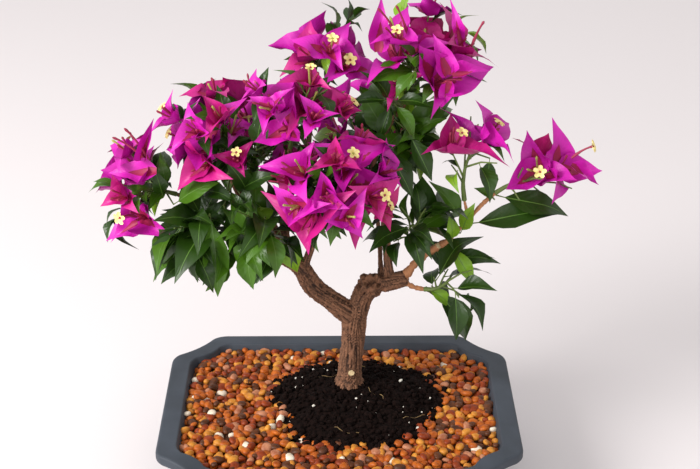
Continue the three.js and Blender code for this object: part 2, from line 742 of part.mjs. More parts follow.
// Leaves stand along a shoot in a spiral. One that never fits is left out.
function addLeaves(mass, grown, { points, way, size, turn }, random) {
  const [start, span] = size ? LEAF.underHead : LEAF.onShoot;
  const count = Math.max(3, Math.round(points[0].distanceTo(points.at(-1)) / LEAF.spacing));
  for (let i = 0; i < count; i++) {
    const { point: base, way: tangent } = onChain(points, start + (span * (i + 1)) / count);
    const side = squareTo(tangent, UP);
    const other = tangent.clone().cross(side);
    const full = mass.leaf * THREE.MathUtils.lerp(...LEAF.sizes, random()) * (size ? LEAF.headSize : 1);
    const tries = SHRINKS.flatMap((shrink) => LEAF_TURNS.map((extra) => {
      const angle = turn + i * GOLDEN_ANGLE + extra;
      const along = side.clone().multiplyScalar(Math.cos(angle)).addScaledVector(other, Math.sin(angle))
        .addScaledVector(tangent, LEAF.lean.shoot).addScaledVector(way, LEAF.lean.outwards)
        .addScaledVector(UP, -LEAF.lean.down).normalize();
      const face = squareTo(along, UP.clone().addScaledVector(way, LEAF.tilt));
      const place = { base, along, face, length: full * shrink, width: full * shrink * LEAF.aspect };
      return { place, corners: bladeCorners(place, LEAF) };
    }));
    const leaf = tries.find(({ corners }) => !crowded(grown, corners) && bladeFits(mass, corners));
    if (leaf) grown.leaves.push(leaf);
  }
}

// Whether a leaf comes too near the leaves and bracts already there, past its own root.
function crowded(grown, corners) {
  const marksOf = ({ right, tip, left, rib }) => [rib, rib.clone().lerp(tip, 0.5), tip, right, left];
  const marks = marksOf(corners);
  return [...grown.leaves, ...grown.heads.flatMap((head) => head.bracts)]
    .some((other) => marksOf(other.corners).some((q) => marks.some((p) => p.distanceTo(q) < LEAF.apart)));
}

function makeMass(mass, limbs) {
  const grown = growMass(mass);
  const parts = [
    ...grown.twigs.map(twigSolid),
    ...grown.leaves.map(leafSolid),
    ...grown.heads.map(headSolid),
  ];
  let fused = wasm.Manifold.union(parts);
  for (const limb of Object.keys(limbs)) {
    if (fused.minGap(limbs[limb], 1) < CLEARANCE) fused = fused.subtract(limbSolid(limb, CLEARANCE));
  }
  // vertices that all but touch are merged, which can part a scrap from the rest
  return largestBody(solidOf(geometryOf(largestBody(fused.simplify(FUSE_TOLERANCE)))));
}

// ---------------------------------------------------------------- the assembly
const plant = new THREE.Group();
plant.name = "bougainvillea_bonsai";

function addPart(name, geometry, finish) {
  const mesh = new THREE.Mesh(geometry, new THREE.MeshStandardMaterial(FINISH[finish]));
  mesh.name = name;
  plant.add(mesh);
}

addPart("tray", makeTray(), "tray");
addPart("growing_mix", makeMix(), "mix");
addPart("gravel", makeGravel(), "gravel");

const limbs = makeLimbs();
for (const [name, solid] of Object.entries(limbs)) {
  addPart(name, geometryOf(solid), name.startsWith("shoot") ? "youngBark" : "bark");
}
for (const [name, mass] of Object.entries(MASSES)) {
  addPart(name, geometryOf(makeMass(mass, limbs)), mass.heads.length > 2 ? "blossom" : "foliage");
}

export default plant;
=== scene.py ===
"""A bougainvillea bonsai in a cut-corner tray: bark, twigs, leaves, bracts, soil, gravel and tray.

Lengths in the growing rule are millimetres, as the plant's sizes are. Meshes are made in metres.
"""

import math

import bmesh
import bpy
import numpy as np
from bpy.props import FloatProperty, FloatVectorProperty, IntProperty, PointerProperty
from mathutils import Matrix, Vector, noise


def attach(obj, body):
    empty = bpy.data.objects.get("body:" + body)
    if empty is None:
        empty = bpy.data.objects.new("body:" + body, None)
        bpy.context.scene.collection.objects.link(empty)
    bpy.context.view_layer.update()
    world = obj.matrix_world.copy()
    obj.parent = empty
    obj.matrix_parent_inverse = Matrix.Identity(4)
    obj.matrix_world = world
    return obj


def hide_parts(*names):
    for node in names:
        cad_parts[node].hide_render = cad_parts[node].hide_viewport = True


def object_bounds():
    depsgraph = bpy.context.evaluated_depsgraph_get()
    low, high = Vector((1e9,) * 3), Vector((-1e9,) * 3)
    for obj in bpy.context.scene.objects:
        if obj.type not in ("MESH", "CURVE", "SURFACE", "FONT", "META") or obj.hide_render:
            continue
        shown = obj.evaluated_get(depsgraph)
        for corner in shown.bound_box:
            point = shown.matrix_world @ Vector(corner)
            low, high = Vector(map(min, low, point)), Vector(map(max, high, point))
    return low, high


bl_info = {
    "name": "Bougainvillea bonsai",
    "version": (1, 0, 0),
    "blender": (4, 5, 0),
    "location": "View3D > Sidebar > Bonsai",
    "description": "Dresses a small flowering bonsai and its tray of gravel",
    "category": "Add Mesh",
}

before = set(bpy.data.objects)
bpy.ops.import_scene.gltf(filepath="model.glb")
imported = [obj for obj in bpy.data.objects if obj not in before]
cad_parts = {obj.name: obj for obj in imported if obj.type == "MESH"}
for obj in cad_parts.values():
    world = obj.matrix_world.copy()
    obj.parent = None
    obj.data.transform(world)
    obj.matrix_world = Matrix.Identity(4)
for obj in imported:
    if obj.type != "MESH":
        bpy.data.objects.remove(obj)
CAD_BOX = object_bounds()

MM = 0.001
UP = np.array([0.0, 0.0, 1.0])


# ---------------------------------------------------------------- the plant's sizes, in millimetres
# Each limb: the points that it bends through, and its radius at both ends.
LIMBS = {
    "trunk": dict(
        path=[(8, 19, 76.3), (8.6, 19, 90), (11, 19, 115), (12, 19, 132), (15, 19, 148)],
        radius=(9.6, 8.6), rings=10, flare=(0.35, 14), knob=(0.72, 0.16, 0.1),
    ),
    "bough_right": dict(
        path=[(14, 19, 140), (19, 18.5, 157), (27, 18, 166), (38, 16.5, 168.5), (53, 15, 173.5)],
        radius=(8.6, 6.4), rings=9, knob=(0.42, 0.13, 0.22),
    ),
    "bough_left": dict(
        path=[(12, 19, 136), (-5, 17, 152), (-20, 15, 166), (-30, 12, 185), (-43, 10, 196), (-58, 8, 203)],
        radius=(8.8, 6.2), rings=10,
    ),
    "bough_left_low": dict(path=[(-52, 8, 201), (-68, 6, 208), (-84, 3, 213)], radius=(4.6, 2.6)),
    "bough_left_tip": dict(
        path=[(-70, 6, 208), (-88, 14, 228), (-108, 14, 240), (-122, 9, 248)], radius=(2.7, 1.8),
    ),
    "bough_left_upper": dict(
        path=[(-53, 8, 202), (-66, 14, 226), (-76, 14, 248), (-82, 12, 264)], radius=(4.2, 2.2),
    ),
    "bough_left_inner": dict(path=[(-46, 9, 198), (-50, 0, 206), (-53, -10, 216)], radius=(3.2, 2)),
    "bough_centre": dict(
        path=[(-40, 10, 194), (-42, 16, 228), (-38, 16, 262), (-36, 12, 284)], radius=(4.2, 2.2),
    ),
    "bough_centre_low": dict(path=[(-28, 12, 182), (-20, 6, 208), (-16, -4, 230)], radius=(3.6, 2)),
    "bough_top_left": dict(
        path=[(-41, 16, 236), (-26, 26, 270), (-20, 32, 300), (-19, 33, 322)], radius=(2.6, 1.8),
    ),
    "bough_back_left": dict(path=[(-36, 11, 190), (-50, 34, 208), (-60, 48, 228)], radius=(3.6, 2.2)),
    "stem_upright": dict(
        path=[(40, 16.5, 166), (37, 20, 200), (35, 24, 236), (40, 34, 256)], radius=(4, 2.4),
    ),
    "stem_top": dict(
        path=[(35.2, 22.8, 228), (26, 18, 262), (36, 18, 296), (50, 22, 316)], radius=(2.3, 1.6),
    ),
    "bough_back_right": dict(path=[(33, 17, 168), (32, 42, 196), (28, 62, 226)], radius=(3.6, 2.2)),
    "shoot_right": dict(
        path=[(50, 15, 173), (62, 14, 190), (76, 13, 201), (84, 12, 207)], radius=(3.4, 2.4),
    ),
    "shoot_right_tip": dict(
        path=[(80, 12, 204), (96, 10, 222), (108, 9, 238), (118, 9, 248)], radius=(1.9, 1.4),
    ),
    "shoot_right_stalk": dict(path=[(95, 10, 221), (97, 8, 232), (95, 7, 243)], radius=(1.3, 1)),
    "shoot_right_inner": dict(path=[(66, 14, 194), (62, 9, 201), (58, 6, 208)], radius=(1.9, 1.5)),
    "shoot_right_low": dict(path=[(49, 15, 171), (58, 10, 168), (66, 6, 168)], radius=(2.2, 1.6)),
}

# Each mass: its limb, the middle and half-sizes of its space, its leafy shoots, its leaves' usual
# length, its seed, and its flower heads as steps right, back and up from the middle, and a size.
MASSES = {
    "foliage_left_tip": dict(
        on="bough_left_tip", middle=(-148, 4, 254), reach=(42, 50, 52), shoots=5, leaf=34, seed=42,
        heads=[(-4, -9, 26, 1.1), (18, -24, 24, 1), (-10, 0, 2, 0.7), (-6, -27, -14, 1.15),
               (-6, 26, 10, 1)],
    ),
    "foliage_left_low": dict(
        on="bough_left_low", middle=(-104, -10, 227), reach=(55, 55, 50), shoots=12, leaf=50, seed=37,
        heads=[],
    ),
    "foliage_left_inner": dict(
        on="bough_left_inner", middle=(-58, -24, 238), reach=(48, 50, 50), shoots=9, leaf=50, seed=50,
        heads=[],
    ),
    "foliage_left_upper": dict(
        on="bough_left_upper", middle=(-94, 6, 296), reach=(52, 58, 50), shoots=4, leaf=37, seed=57,
        heads=[(-8, -26, 12, 1.1), (-26, -10, 0, 0.9), (12, -24, 32, 1.25), (-8, -36, -8, 0.9),
               (20, -34, -4, 0.6), (-12, 30, 14, 1), (18, 32, 24, 1)],
    ),
    "foliage_centre_left": dict(
        on="bough_centre", middle=(-30, -4, 320), reach=(50, 56, 50), shoots=3, leaf=36, seed=29,
        heads=[(-14, -12, 14, 0.95), (-12, -28, -2, 1), (22, -20, 6, 1.15), (10, -10, 16, 1.05),
               (-4, 30, 0, 1)],
    ),
    "foliage_centre_low": dict(
        on="bough_centre_low", middle=(-8, -24, 272), reach=(60, 58, 58), shoots=5, leaf=40, seed=20,
        heads=[(-25, -26, 24, 1.2), (-19, -34, -14, 1.35), (14, -16, 28, 1.1), (20, -26, 12, 1.15),
               (20, -10, -14, 1.1)],
    ),
    "foliage_top_left": dict(
        on="bough_top_left", middle=(-12, 28, 356), reach=(58, 54, 40), shoots=3, leaf=30, seed=41,
        heads=[(-14, -8, 4, 1), (-26, -18, -6, 0.85), (6, -6, 2, 0.65), (20, -22, 0, 1.15),
               (-16, 24, 0, 1), (16, 24, 0, 1)],
    ),
    "foliage_top": dict(
        on="stem_top", middle=(64, 20, 354), reach=(58, 56, 50), shoots=5, leaf=38, seed=39,
        heads=[(-26, -15, 14, 1.15), (0, -4, 18, 1.1), (15, -36, -4, 1.35), (28, -10, 14, 1.1),
               (-22, -12, -16, 0.7), (8, 32, 8, 1), (-24, 28, 2, 1)],
    ),
    "foliage_centre": dict(
        on="stem_upright", middle=(48, 36, 288), reach=(50, 54, 54), shoots=12, leaf=48, seed=32,
        heads=[],
    ),
    "foliage_right_stalk": dict(
        on="shoot_right_stalk", middle=(98, 4, 284), reach=(46, 46, 50), shoots=3, leaf=34, seed=42,
        heads=[(-14, -4, 16, 1.2), (20, -1, 20, 1.15), (4, 20, 8, 0.9)],
    ),
    "foliage_right_tip": dict(
        on="shoot_right_tip", middle=(152, 8, 258), reach=(52, 50, 44), shoots=6, leaf=54, seed=18,
        heads=[(-10, -12, 28, 1.15), (18, -8, 20, 1.2), (4, 24, 16, 1)],
    ),
    "foliage_right_inner": dict(
        on="shoot_right_inner", middle=(60, 0, 229), reach=(54, 48, 40), shoots=8, leaf=46, seed=29,
        heads=[],
    ),
    "foliage_right_low": dict(
        on="shoot_right_low", middle=(86, 0, 180), reach=(44, 46, 50), shoots=7, leaf=50, seed=17,
        heads=[],
    ),
    "foliage_back_left": dict(
        on="bough_back_left", middle=(-64, 72, 262), reach=(54, 50, 58), shoots=5, leaf=44, seed=36,
        heads=[(0, 28, 10, 1.1), (-30, 16, 18, 1), (28, 16, 24, 1), (-34, 0, -6, 1), (4, 10, 34, 1)],
    ),
    "foliage_back_right": dict(
        on="bough_back_right", middle=(22, 90, 262), reach=(50, 48, 56), shoots=5, leaf=44, seed=16,
        heads=[(0, 26, 10, 1.1), (28, 10, 18, 1), (-26, 16, 26, 1), (30, 4, -6, 1)],
    ),
}

STEM_RADIUS = 2
SHOOT = dict(radius=0.95, first=0.3, span=0.67, arch=0.07, spread=0.95, least=8)
LEAF = dict(
    aspect=0.52, wide=0.42, fold=0.08, curl=0.14, spacing=9, apart=7.4, sizes=(0.75, 1.25),
    on_shoot=(0.26, 0.7), under_head=(0.2, 0.6), head_size=0.8,
    lean_shoot=0.55, lean_out=0.35, lean_down=0.45, tilt=0.55,
)
BRACT = dict(
    length=34, aspect=0.76, wide=0.48, fold=0.1, curl=0.08, step=0.06, open=0.74,
    looseness=(0.3, 0.12), sunk=1.5,
)
HEAD_AIM = dict(mass=0.7, crown=0.6, up=0.15)
HEAD_SET_BACK = 0.4
HEAD_TOP = np.array([0.1, 0.2, 1.0])
CROWN_MIDDLE = np.array([10.0, 20.0, 235.0])
GOLDEN_ANGLE = math.pi * (3 - math.sqrt(5))
LEAF_TURNS = (0, 1.2, -1.2, 2.4, -2.4)
SHRINKS = (1, 0.85, 0.7, 0.58)
LIMB_CLEAR = 0.8
SPACE_CLEAR = 0.25

# Finer growth than the solids hold: small side leaves on every shoot and stem.
FINE = dict(spacing=5, sizes=(0.45, 0.85), apart=4.6, seed=500)
FINE_HEADS = dict(
    tries=34, few=8, sizes=(0.66, 0.95), spread=1.55, inside=0.72, apart=19, seed=700,
)
# The masses whose large heads already fill them.
FULL_MASSES = ("foliage_top", "foliage_right_stalk")
# The share of the rule's leaves that the sparse masses on the right keep.
KEPT_LEAVES = {
    "foliage_right_tip": 0.0, "foliage_right_stalk": 0.5, "foliage_right_low": 0.65,
    "foliage_right_inner": 0.75,
}
# Single leaves that stand clear of the sprays: foot, tip, width for its length and tone.
CLEAR_LEAVES = (
    ((98, 10, 222), (170, 2, 235), 0.34, "dark"), ((119, 10, 246), (177, 6, 231), 0.4, "dark"),
    ((96, 12, 224), (68, 4, 258), 0.38, "middle"), ((92, 12, 219), (64, 0, 225), 0.36, "dark"),
    ((86, 10, 205), (103, -4, 174), 0.38, "young"), ((80, 12, 192), (124, 6, 195), 0.38, "dark"),
    ((75, 10, 167), (106, 2, 123), 0.44, "dark"), ((68, 10, 168), (91, 6, 151), 0.42, "young"),
    ((113, 8, 277), (111, 6, 256), 0.62, "dark"), ((93, 10, 214), (103, 4, 241), 0.5, "young"),
    ((87, 8, 208), (84, 2, 236), 0.45, "young"), ((118, 8, 243), (103, 4, 256), 0.5, "middle"),
    ((-45, 0, 222), (-33, -8, 188), 0.56, "young"),
    ((-83, -14, 257), (-54, -34, 228), 0.46, "middle"), ((-74, -18, 263), (-45, -30, 282), 0.44, "dark"),
    ((-95, -22, 246), (-86, -34, 182), 0.36, "middle"), ((-122, -16, 251), (-89, -30, 278), 0.44, "middle"),
    ((-111, -20, 245), (-135, -30, 205), 0.4, "dark"), ((-85, -16, 250), (-68, -26, 203), 0.4, "dark"),
    ((-104, -12, 261), (-76, -30, 264), 0.5, "dark"), ((-130, -10, 255), (-135, -18, 279), 0.55, "dark"),
    ((-66, -16, 258), (-79, -26, 291), 0.5, "dark"), ((-30, -26, 267), (-13, -40, 296), 0.5, "dark"),
    ((-60, -16, 294), (-53, -24, 328), 0.5, "dark"), ((38, 6, 324), (23, -8, 352), 0.42, "dark"),
    ((40, 6, 324), (70, -8, 326), 0.42, "dark"), ((38, 6, 324), (8, 0, 327), 0.4, "dark"),
    ((39, 6, 322), (29, -6, 296), 0.42, "dark"), ((41, 6, 322), (58, -6, 300), 0.42, "middle"),
    ((52, 4, 300), (68, -8, 264), 0.4, "dark"), ((34, 2, 290), (56, -10, 252), 0.42, "dark"),
)
# Large open heads that face outwards: the mass, where, size and which way each opens.
OPEN_HEADS = (
    ("foliage_right_tip", (147, 4, 271), 1.06, (-0.3, -0.75, 0.6)),
    ("foliage_right_tip", (172, 8, 270), 1.1, (0.5, -0.7, 0.5)),
    ("foliage_top_left", (7, 14, 352), 0.95, (0.25, -0.7, 0.65)),
    ("foliage_left_tip", (-151, -14, 240), 1.0, (-0.45, -0.75, 0.35)),
)
OPEN_HEAD = dict(clear=20, turn=0.15, step=0.12)
# Single bracts with drawn-out tips: foot, tip and width for its length.
CLEAR_BRACTS = (
    ((-142, -14, 286), (-137, -20, 321), 0.3), ((89, 10, 363), (84, 6, 397), 0.3),
    ((29, 6, 361), (32, 0, 399), 0.5), ((171, -6, 277), (197, -10, 265), 0.42),
    ((-132, -20, 279), (-168, -26, 285), 0.55), ((-148, -22, 239), (-173, -28, 228), 0.5),
    ((80, -12, 346), (74, -20, 325), 0.55), ((82, -12, 348), (105, -18, 359), 0.6),
    ((78, -10, 349), (71, -16, 379), 0.62),
)
# Long tubes that stand clear of the bracts: foot and mouth.
CLEAR_TUBES = (
    ((-139, -16, 285), (-163, -20, 306)), ((-138, -16, 286), (-154, -20, 313)),
    ((172, -6, 283), (187, -10, 294)), ((44, 2, 372), (28, -4, 397)),
    ((50, 2, 375), (41, -4, 399)), ((96, 4, 366), (104, 0, 386)),
    ((-150, -16, 241), (-160, -36, 249)),
)
# How high the finer heads of a mass may stand.
CEILING = {"foliage_top_left": 364}
# Where the crown's outline stays open: no finer head stands within this reach of these.
OPEN_REACH = 15
OPEN_PLACES = np.array([
    (-112, 15, 316), (-120, 27, 299), (-104, -11, 321), (-115, -16, 302), (-44, 18, 361), (-49, 39, 352),
    (-24, 59, 357), (4, 54, 361), (-170, -1, 249), (-158, -12, 269), (-167, 15, 267), (97, 19, 365),
    (70, 11, 378), (14, 115, 276), (28, 94, 295), (-49, -19, 343), (10, 91, 294), (-5, 62, 349),
])
# Where flowers are open: the tube that ends nearest to each place has a star.
OPEN_FLOWERS = (
    (-160, -36, 249), (22, 25, 356), (23, 22, 386), (113, 12, 321), (155, -2, 277), (189, 0, 289),
)
# Shares of a tube's length, and its radius at each of them: swollen at the root and at the mouth.
TUBE_STEPS = (0, 0.2, 0.4, 0.6, 0.8, 0.93, 1)
TUBE_RADII = np.array([0.8, 1.15, 0.8, 0.65, 0.7, 1.0, 0.45])
# Shares: heads up to "young" still open, up to the deep share in a deeper pink that is partly painted shade,
# fresh tubes, open flowers.
BLOSSOM = dict(young=0.05, deep=0.46, fresh=0.16, open=0.008)
# The view in front of a flower head that no leaf stands in.
HEAD_VIEW = dict(near=3, far=28, root=4, widens=0.26)
# The masses that have no finer twigs, leaves or heads.
OPEN_MASSES = ("foliage_right_tip", "foliage_right_stalk", "foliage_right_low")

TRAY = dict(
    width=280, depth=219, corner=37, dent=2.5, rounding=7,
    outside=[(33, 0), (31, 1.5), (11, 59), (2, 61), (0, 63), (0, 67.5), (0.7, 69.2), (2.5, 70)],
    inside=[(14.5, 70), (15.4, 69.6), (16, 68.5), (37, 4)],
)
MOUND = dict(
    x=14, y=8, radius=70, plateau=17,
    slope=[(1, 64.5), (0.86, 66.8), (0.62, 70.4), (0.34, 73.6), (0, 76)],
)
# Old pruning cuts: the place and the radius of each.
CUTS = ((9.8, 9, 90.9, 2.7), (-54.4, 4, 197, 2.2))
# The cut end of the young shoot, and the dead twig with its fork.
STUB = dict(foot=(71, 13.4, 197.5), end=(76.4, 9.8, 203.6), radius=2.7)
DEAD_TWIG = (
    ((-58, 7, 200), (-65, 5, 199), (-75, 2, 202.5), (-84, 0, 206)),
    ((-72, 3, 201.4), (-77, 1, 199.6), (-82, 0, 199.4)),
)
# The gnarled old wound at the fork: its middle, reach, ring and how far that stands out.
CALLUS = dict(
    at=np.array([23.5, 10, 171.5]), spread=14, ring=5.2, lip=1.3, rise=1.5, lumps=6.5, ragged=3,
)
# How many rings a limb has: in the bark's pattern, in the bark and in the young shoots.
PATTERN_RINGS, BARK_RINGS, SHOOT_RINGS = 24, 40, 60
GRAVEL = dict(level=64, edge=19, seed=11)
# Each layer's height from the gravel's level, its gap between pebbles and their size.
LAYERS = ((-3.2, 5.7, 1.0), (-0.2, 5.4, 1.0), (1.2, 8, 0.85))
# A few pebbles that have rolled on to the mound.
SPILL = dict(x=-54, y=-15, radius=11, tries=2500, gap=5.5)
# Where rootlets start.
ROOTLETS = ((-19, 31), (24, 50), (70, -16), (-6, -38), (34, -8))
# Each kind of pebble: its dark and light colours, and its share of the gravel.
PEBBLE_COLOURS = {
    "amber": ((140, 62, 12), (194, 102, 26), 0.36),
    "rust": ((106, 38, 12), (152, 62, 18), 0.2),
    "brown": ((60, 30, 14), (100, 54, 24), 0.17),
    "honey": ((168, 100, 28), (216, 148, 56), 0.2),
    "pink": ((148, 86, 58), (192, 132, 98), 0.05),
    "white": ((206, 188, 164), (238, 228, 210), 0.022),
}

# The camera in metres and degrees, and each lamp's place, share of the key light and colour.
CAMERA = dict(at=(0, -1.0593, 0.7257), lens=79.7, sensor=36, down=25.6, turn=-0.46)
LAMPS = {
    "key_light": ((-1.65, -0.95, 1.25), 1, (1, 0.985, 0.97)),
    "front_light": ((0.4, -1.9, 1.2), 0.1, (0.97, 0.98, 1)),
}
LAMPS_AIM = Vector((0, 0, 0.2))


# ---------------------------------------------------------------- small helpers
def srgb(*picked):
    """A colour picked on a screen, 0 to 255, as the plain light values that a shader takes."""
    return tuple(((c / 255 + 0.055) / 1.055) ** 2.4 if c > 10 else c / 255 / 12.92 for c in picked)


def colour_prop(name, description, rgb):
    return FloatVectorProperty(
        name=name, description=description, subtype="COLOR", size=3, min=0, max=1, default=srgb(*rgb),
    )


def length_prop(name, description, default):
    return FloatProperty(name=name, description=description, default=default, min=0, unit="LENGTH")


def seeded(seed):
    """The same sequence of numbers from 0 to 1 for the same seed."""
    state = seed * 7919

    def draw():
        nonlocal state
        state = state * 48271 % 2147483647
        return state / 2147483647

    return draw


def unit(v):
    return v / math.sqrt(v @ v)


def square_to(along, towards):
    """A unit vector square to along, as near to towards as it can be."""
    return unit(towards - along * (towards @ along))


def distance(a, b):
    return math.sqrt((a - b) @ (a - b))


def way_out(lift, azimuth):
    """A unit vector that rises by lift and points round to azimuth."""
    level = math.sqrt(1 - lift * lift)
    return np.array([level * math.cos(azimuth), level * math.sin(azimuth), lift])


def on_chain(points, share):
    """A point a share of the way along straight steps, and the way that they run there."""
    at = min(share, 1) * (len(points) - 1)
    i = min(int(at), len(points) - 2)
    step = points[i + 1] - points[i]
    return points[i] + step * (at - i), unit(step)


# ---------------------------------------------------------------- the growing rule
def limb_chain(name, rings=None):
    """Points on a smooth curve through a limb's path."""
    path = [np.array(p, float) for p in LIMBS[name]["path"]]
    rings = rings or LIMBS[name].get("rings", 5)
    ends = [2 * path[0] - path[1], *path, 2 * path[-1] - path[-2]]
    points = []
    for r in range(rings + 1):
        at = r / rings * (len(path) - 1)
        i = min(int(at), len(path) - 2)
        t = at - i
        before, start, end, after = ends[i : i + 4]
        leave, arrive = (end - before) / 2, (after - start) / 2
        points.append(
            start + leave * t
            + (3 * (end - start) - 2 * leave - arrive) * t**2
            + (2 * (start - end) + leave + arrive) * t**3
        )
    return points


def limb_radius(name, t):
    """A limb's radius a share of the way along it, with its flare and its knob if it has them."""
    limb = LIMBS[name]
    start, end = limb["radius"]
    plain = start + (end - start) * t
    if "knob" not in limb:
        return plain * (1 + 0.04 * math.sin(t * 19))
    widened, fade = limb.get("flare", (0, 0))
    where, spread, added = limb["knob"]
    return plain * (1 + widened * math.exp(-t * fade) + added * math.exp(-(((t - where) / spread) ** 2)))


def stem_chain(mass):
    """The stem of a mass goes from just clear of its limb's tip to its middle."""
    tip, way = on_chain(limb_chain(mass["on"]), 1)
    middle = np.array(mass["middle"], float)
    start = tip + way * 0.3
    bend = start + way * distance(start, middle) / 2
    return [start * (1 - t) ** 2 + bend * 2 * t * (1 - t) + middle * t**2 for t in (0, 1 / 3, 2 / 3, 1)]


class Space:
    """Where one mass may grow: its oval, cut by flat walls from its neighbours, and off the limbs."""

    def __init__(self, name):
        self.middle = np.array(MASSES[name]["middle"], float)
        self.reach = np.array(MASSES[name]["reach"], float)
        others = [m for n, m in MASSES.items() if n != name]
        self.weight = self.reach.mean() ** 2
        self.others = np.array([m["middle"] for m in others], float)
        self.weights = np.array([sum(m["reach"]) / 3 for m in others]) ** 2
        self.apart = np.sqrt(((self.others - self.middle) ** 2).sum(1))
        chains = []
        for limb in LIMBS:
            points = limb_chain(limb)
            last = len(points) - 1
            chains.append((points, [limb_radius(limb, i / last) for i in range(last + 1)]))
        chains += [(stem_chain(m), [STEM_RADIUS] * 4) for m in others]
        self.starts = np.concatenate([np.array(points[:-1]) for points, _ in chains])
        self.steps = np.concatenate([np.diff(points, axis=0) for points, _ in chains])
        self.limits = np.concatenate([np.maximum(radii[:-1], radii[1:]) for _, radii in chains])
        self.squares = (self.steps**2).sum(1)

    def holds(self, points, margin=0.0):
        """Whether every point is inside the space."""
        points = np.atleast_2d(points)
        inside = (((points - self.middle) / (self.reach - margin)) ** 2).sum(1) <= 1
        own = ((points - self.middle) ** 2).sum(1) - self.weight
        theirs = ((points[:, None] - self.others) ** 2).sum(2) - self.weights
        walls = own[:, None] <= theirs - 2 * self.apart * (SPACE_CLEAR + margin)
        return bool(inside.all() and walls.all())

    def clear(self, points, gap):
        """Whether every point keeps its distance from the limbs and the other masses' stems."""
        points = np.atleast_2d(points)
        to_point = points[:, None] - self.starts
        t = np.clip((to_point * self.steps).sum(2) / self.squares, 0, 1)
        away = to_point - self.steps * t[:, :, None]
        return bool((np.sqrt((away**2).sum(2)) >= self.limits + gap).all())

    def depth(self, start, way):
        """How far the space reaches from a point, in whole millimetres."""
        far = 0
        while self.holds(start + way * (far + 1)):
            far += 1
        return far


def blade_corners(blade, shape):
    """A folded blade's right, tip, left and rib marks."""
    side = np.cross(blade["face"], blade["along"])
    wide, drop = shape["wide"], -(shape["wide"] ** 2) * shape["curl"]

    def at(u, v, lift):
        flat = blade["base"] + blade["along"] * u * blade["length"] + side * v * blade["width"]
        return flat + blade["face"] * lift * blade["length"]

    return np.array([
        at(wide, -0.5, shape["fold"] + drop), at(1, 0, -shape["curl"]),
        at(wide, 0.5, shape["fold"] + drop), at(wide, 0, drop),
    ])


def blade_fits(space, corners):
    """Whether a blade is inside its space and off the limbs."""
    right, tip, left, rib = corners
    marks = np.array([right, tip, left, rib, (right + tip) / 2, (left + tip) / 2, (rib + tip) / 2])
    return space.holds(marks) and space.clear(marks, LIMB_CLEAR)


def blade_marks(corners):
    """The points of a blade that others keep away from."""
    right, tip, left, rib = corners
    return np.array([rib, (rib + tip) / 2, tip, right, left])


def crowded(grown, corners, apart):
    """Whether a blade comes too near those already there, past its own root."""
    if not grown["marks"]:
        return False
    gaps = np.concatenate(grown["marks"])[:, None] - blade_marks(corners)
    return bool((np.sqrt((gaps**2).sum(2)) < apart).any())


def grow_mass(name):
    """The twigs, leaves and flower heads of one mass."""
    mass = MASSES[name]
    space = Space(name)
    random = seeded(mass["seed"])
    middle = space.middle
    stem = stem_chain(mass)
    axis = middle - stem[0]
    grown = dict(stem=stem, shoots=[], leaves=[], heads=[], marks=[], space=space)

    aims = []
    for right, back, up, size in mass["heads"]:
        centre = middle + np.array([right, back, up])
        way = head_way(unit(centre - middle), centre)
        aims.append((way, size, centre - way * BRACT["length"] * size * HEAD_SET_BACK))
    turn = random() * 2 * math.pi
    for k in range(mass["shoots"]):
        lift = (2 * (k + 0.5) / mass["shoots"] - 1) * SHOOT["spread"]
        way = way_out(lift, turn + k * GOLDEN_ANGLE)
        far = max(space.depth(middle, way) - mass["leaf"] / 2, SHOOT["least"])
        aims.append((way, 0, middle + way * far))
    aims.sort(key=lambda aim: aim[2] @ axis)

    for rank, (way, size, end) in enumerate(aims):
        start = on_chain(stem, SHOOT["first"] + SHOOT["span"] * (rank + 0.5) / len(aims))[0]
        arch = (start + end) / 2 + UP * distance(start, end) * SHOOT["arch"]
        points = [start, end] if size else [start, arch, end]
        draws = [random(), random(), random()]
        marks = np.array([on_chain(points, t)[0] for t in (0.4, 0.6, 0.8, 1)])
        if not (space.holds(marks, SHOOT["radius"]) and space.clear(marks, LIMB_CLEAR + SHOOT["radius"])):
            continue
        add_shoot(grown, points, way, size, draws[0] * 2 * math.pi)
        if size:
            add_head(space, grown, end, way, size, draws)
    for shoot in grown["shoots"]:
        add_leaves(mass, space, grown, shoot, random)
    return grown


def head_way(out, at):
    """Which way a flower head opens: off its mass, away from the crown's middle, and up."""
    return unit(out * HEAD_AIM["mass"] + unit(at - CROWN_MIDDLE) * HEAD_AIM["crown"] + UP * HEAD_AIM["up"])


def bract_of(base, way, angle, opening, length):
    """One bract of a head: turned round the head's way by angle, and opened from it."""
    first = square_to(way, HEAD_TOP)
    out = first * math.cos(angle) + np.cross(way, first) * math.sin(angle)
    along = way * math.cos(opening) + out * math.sin(opening)
    face = square_to(along, way)
    return dict(base=base, along=along, face=face, length=length, width=length * BRACT["aspect"])


def add_shoot(grown, points, way, size, turn):
    grown["shoots"].append(dict(points=points, way=way, size=size, turn=turn))


def add_head(space, grown, end, way, size, draws):
    """Three bracts round the shoot's end, which open outwards. Says whether all three had room."""
    base = end - way * BRACT["sunk"]
    shared, own = BRACT["looseness"]
    bracts, marks = [], []
    for k in range(3):
        opening = BRACT["open"] + shared * (draws[1] - 0.5) + own * (k - 1) * draws[2]
        for shrink in SHRINKS:
            length = BRACT["length"] * size * (1 + BRACT["step"] * (k - 1)) * shrink
            bract = bract_of(base, way, (k + draws[0]) * 2 * math.pi / 3, opening, length)
            corners = blade_corners(bract, BRACT)
            if blade_fits(space, corners):
                bracts.append(bract)
                marks.append(blade_marks(corners))
                break
    if len(bracts) < 3:
        return False
    grown["marks"] += marks
    grown["heads"].append(dict(base=base, way=way, size=size, bracts=bracts))
    return True


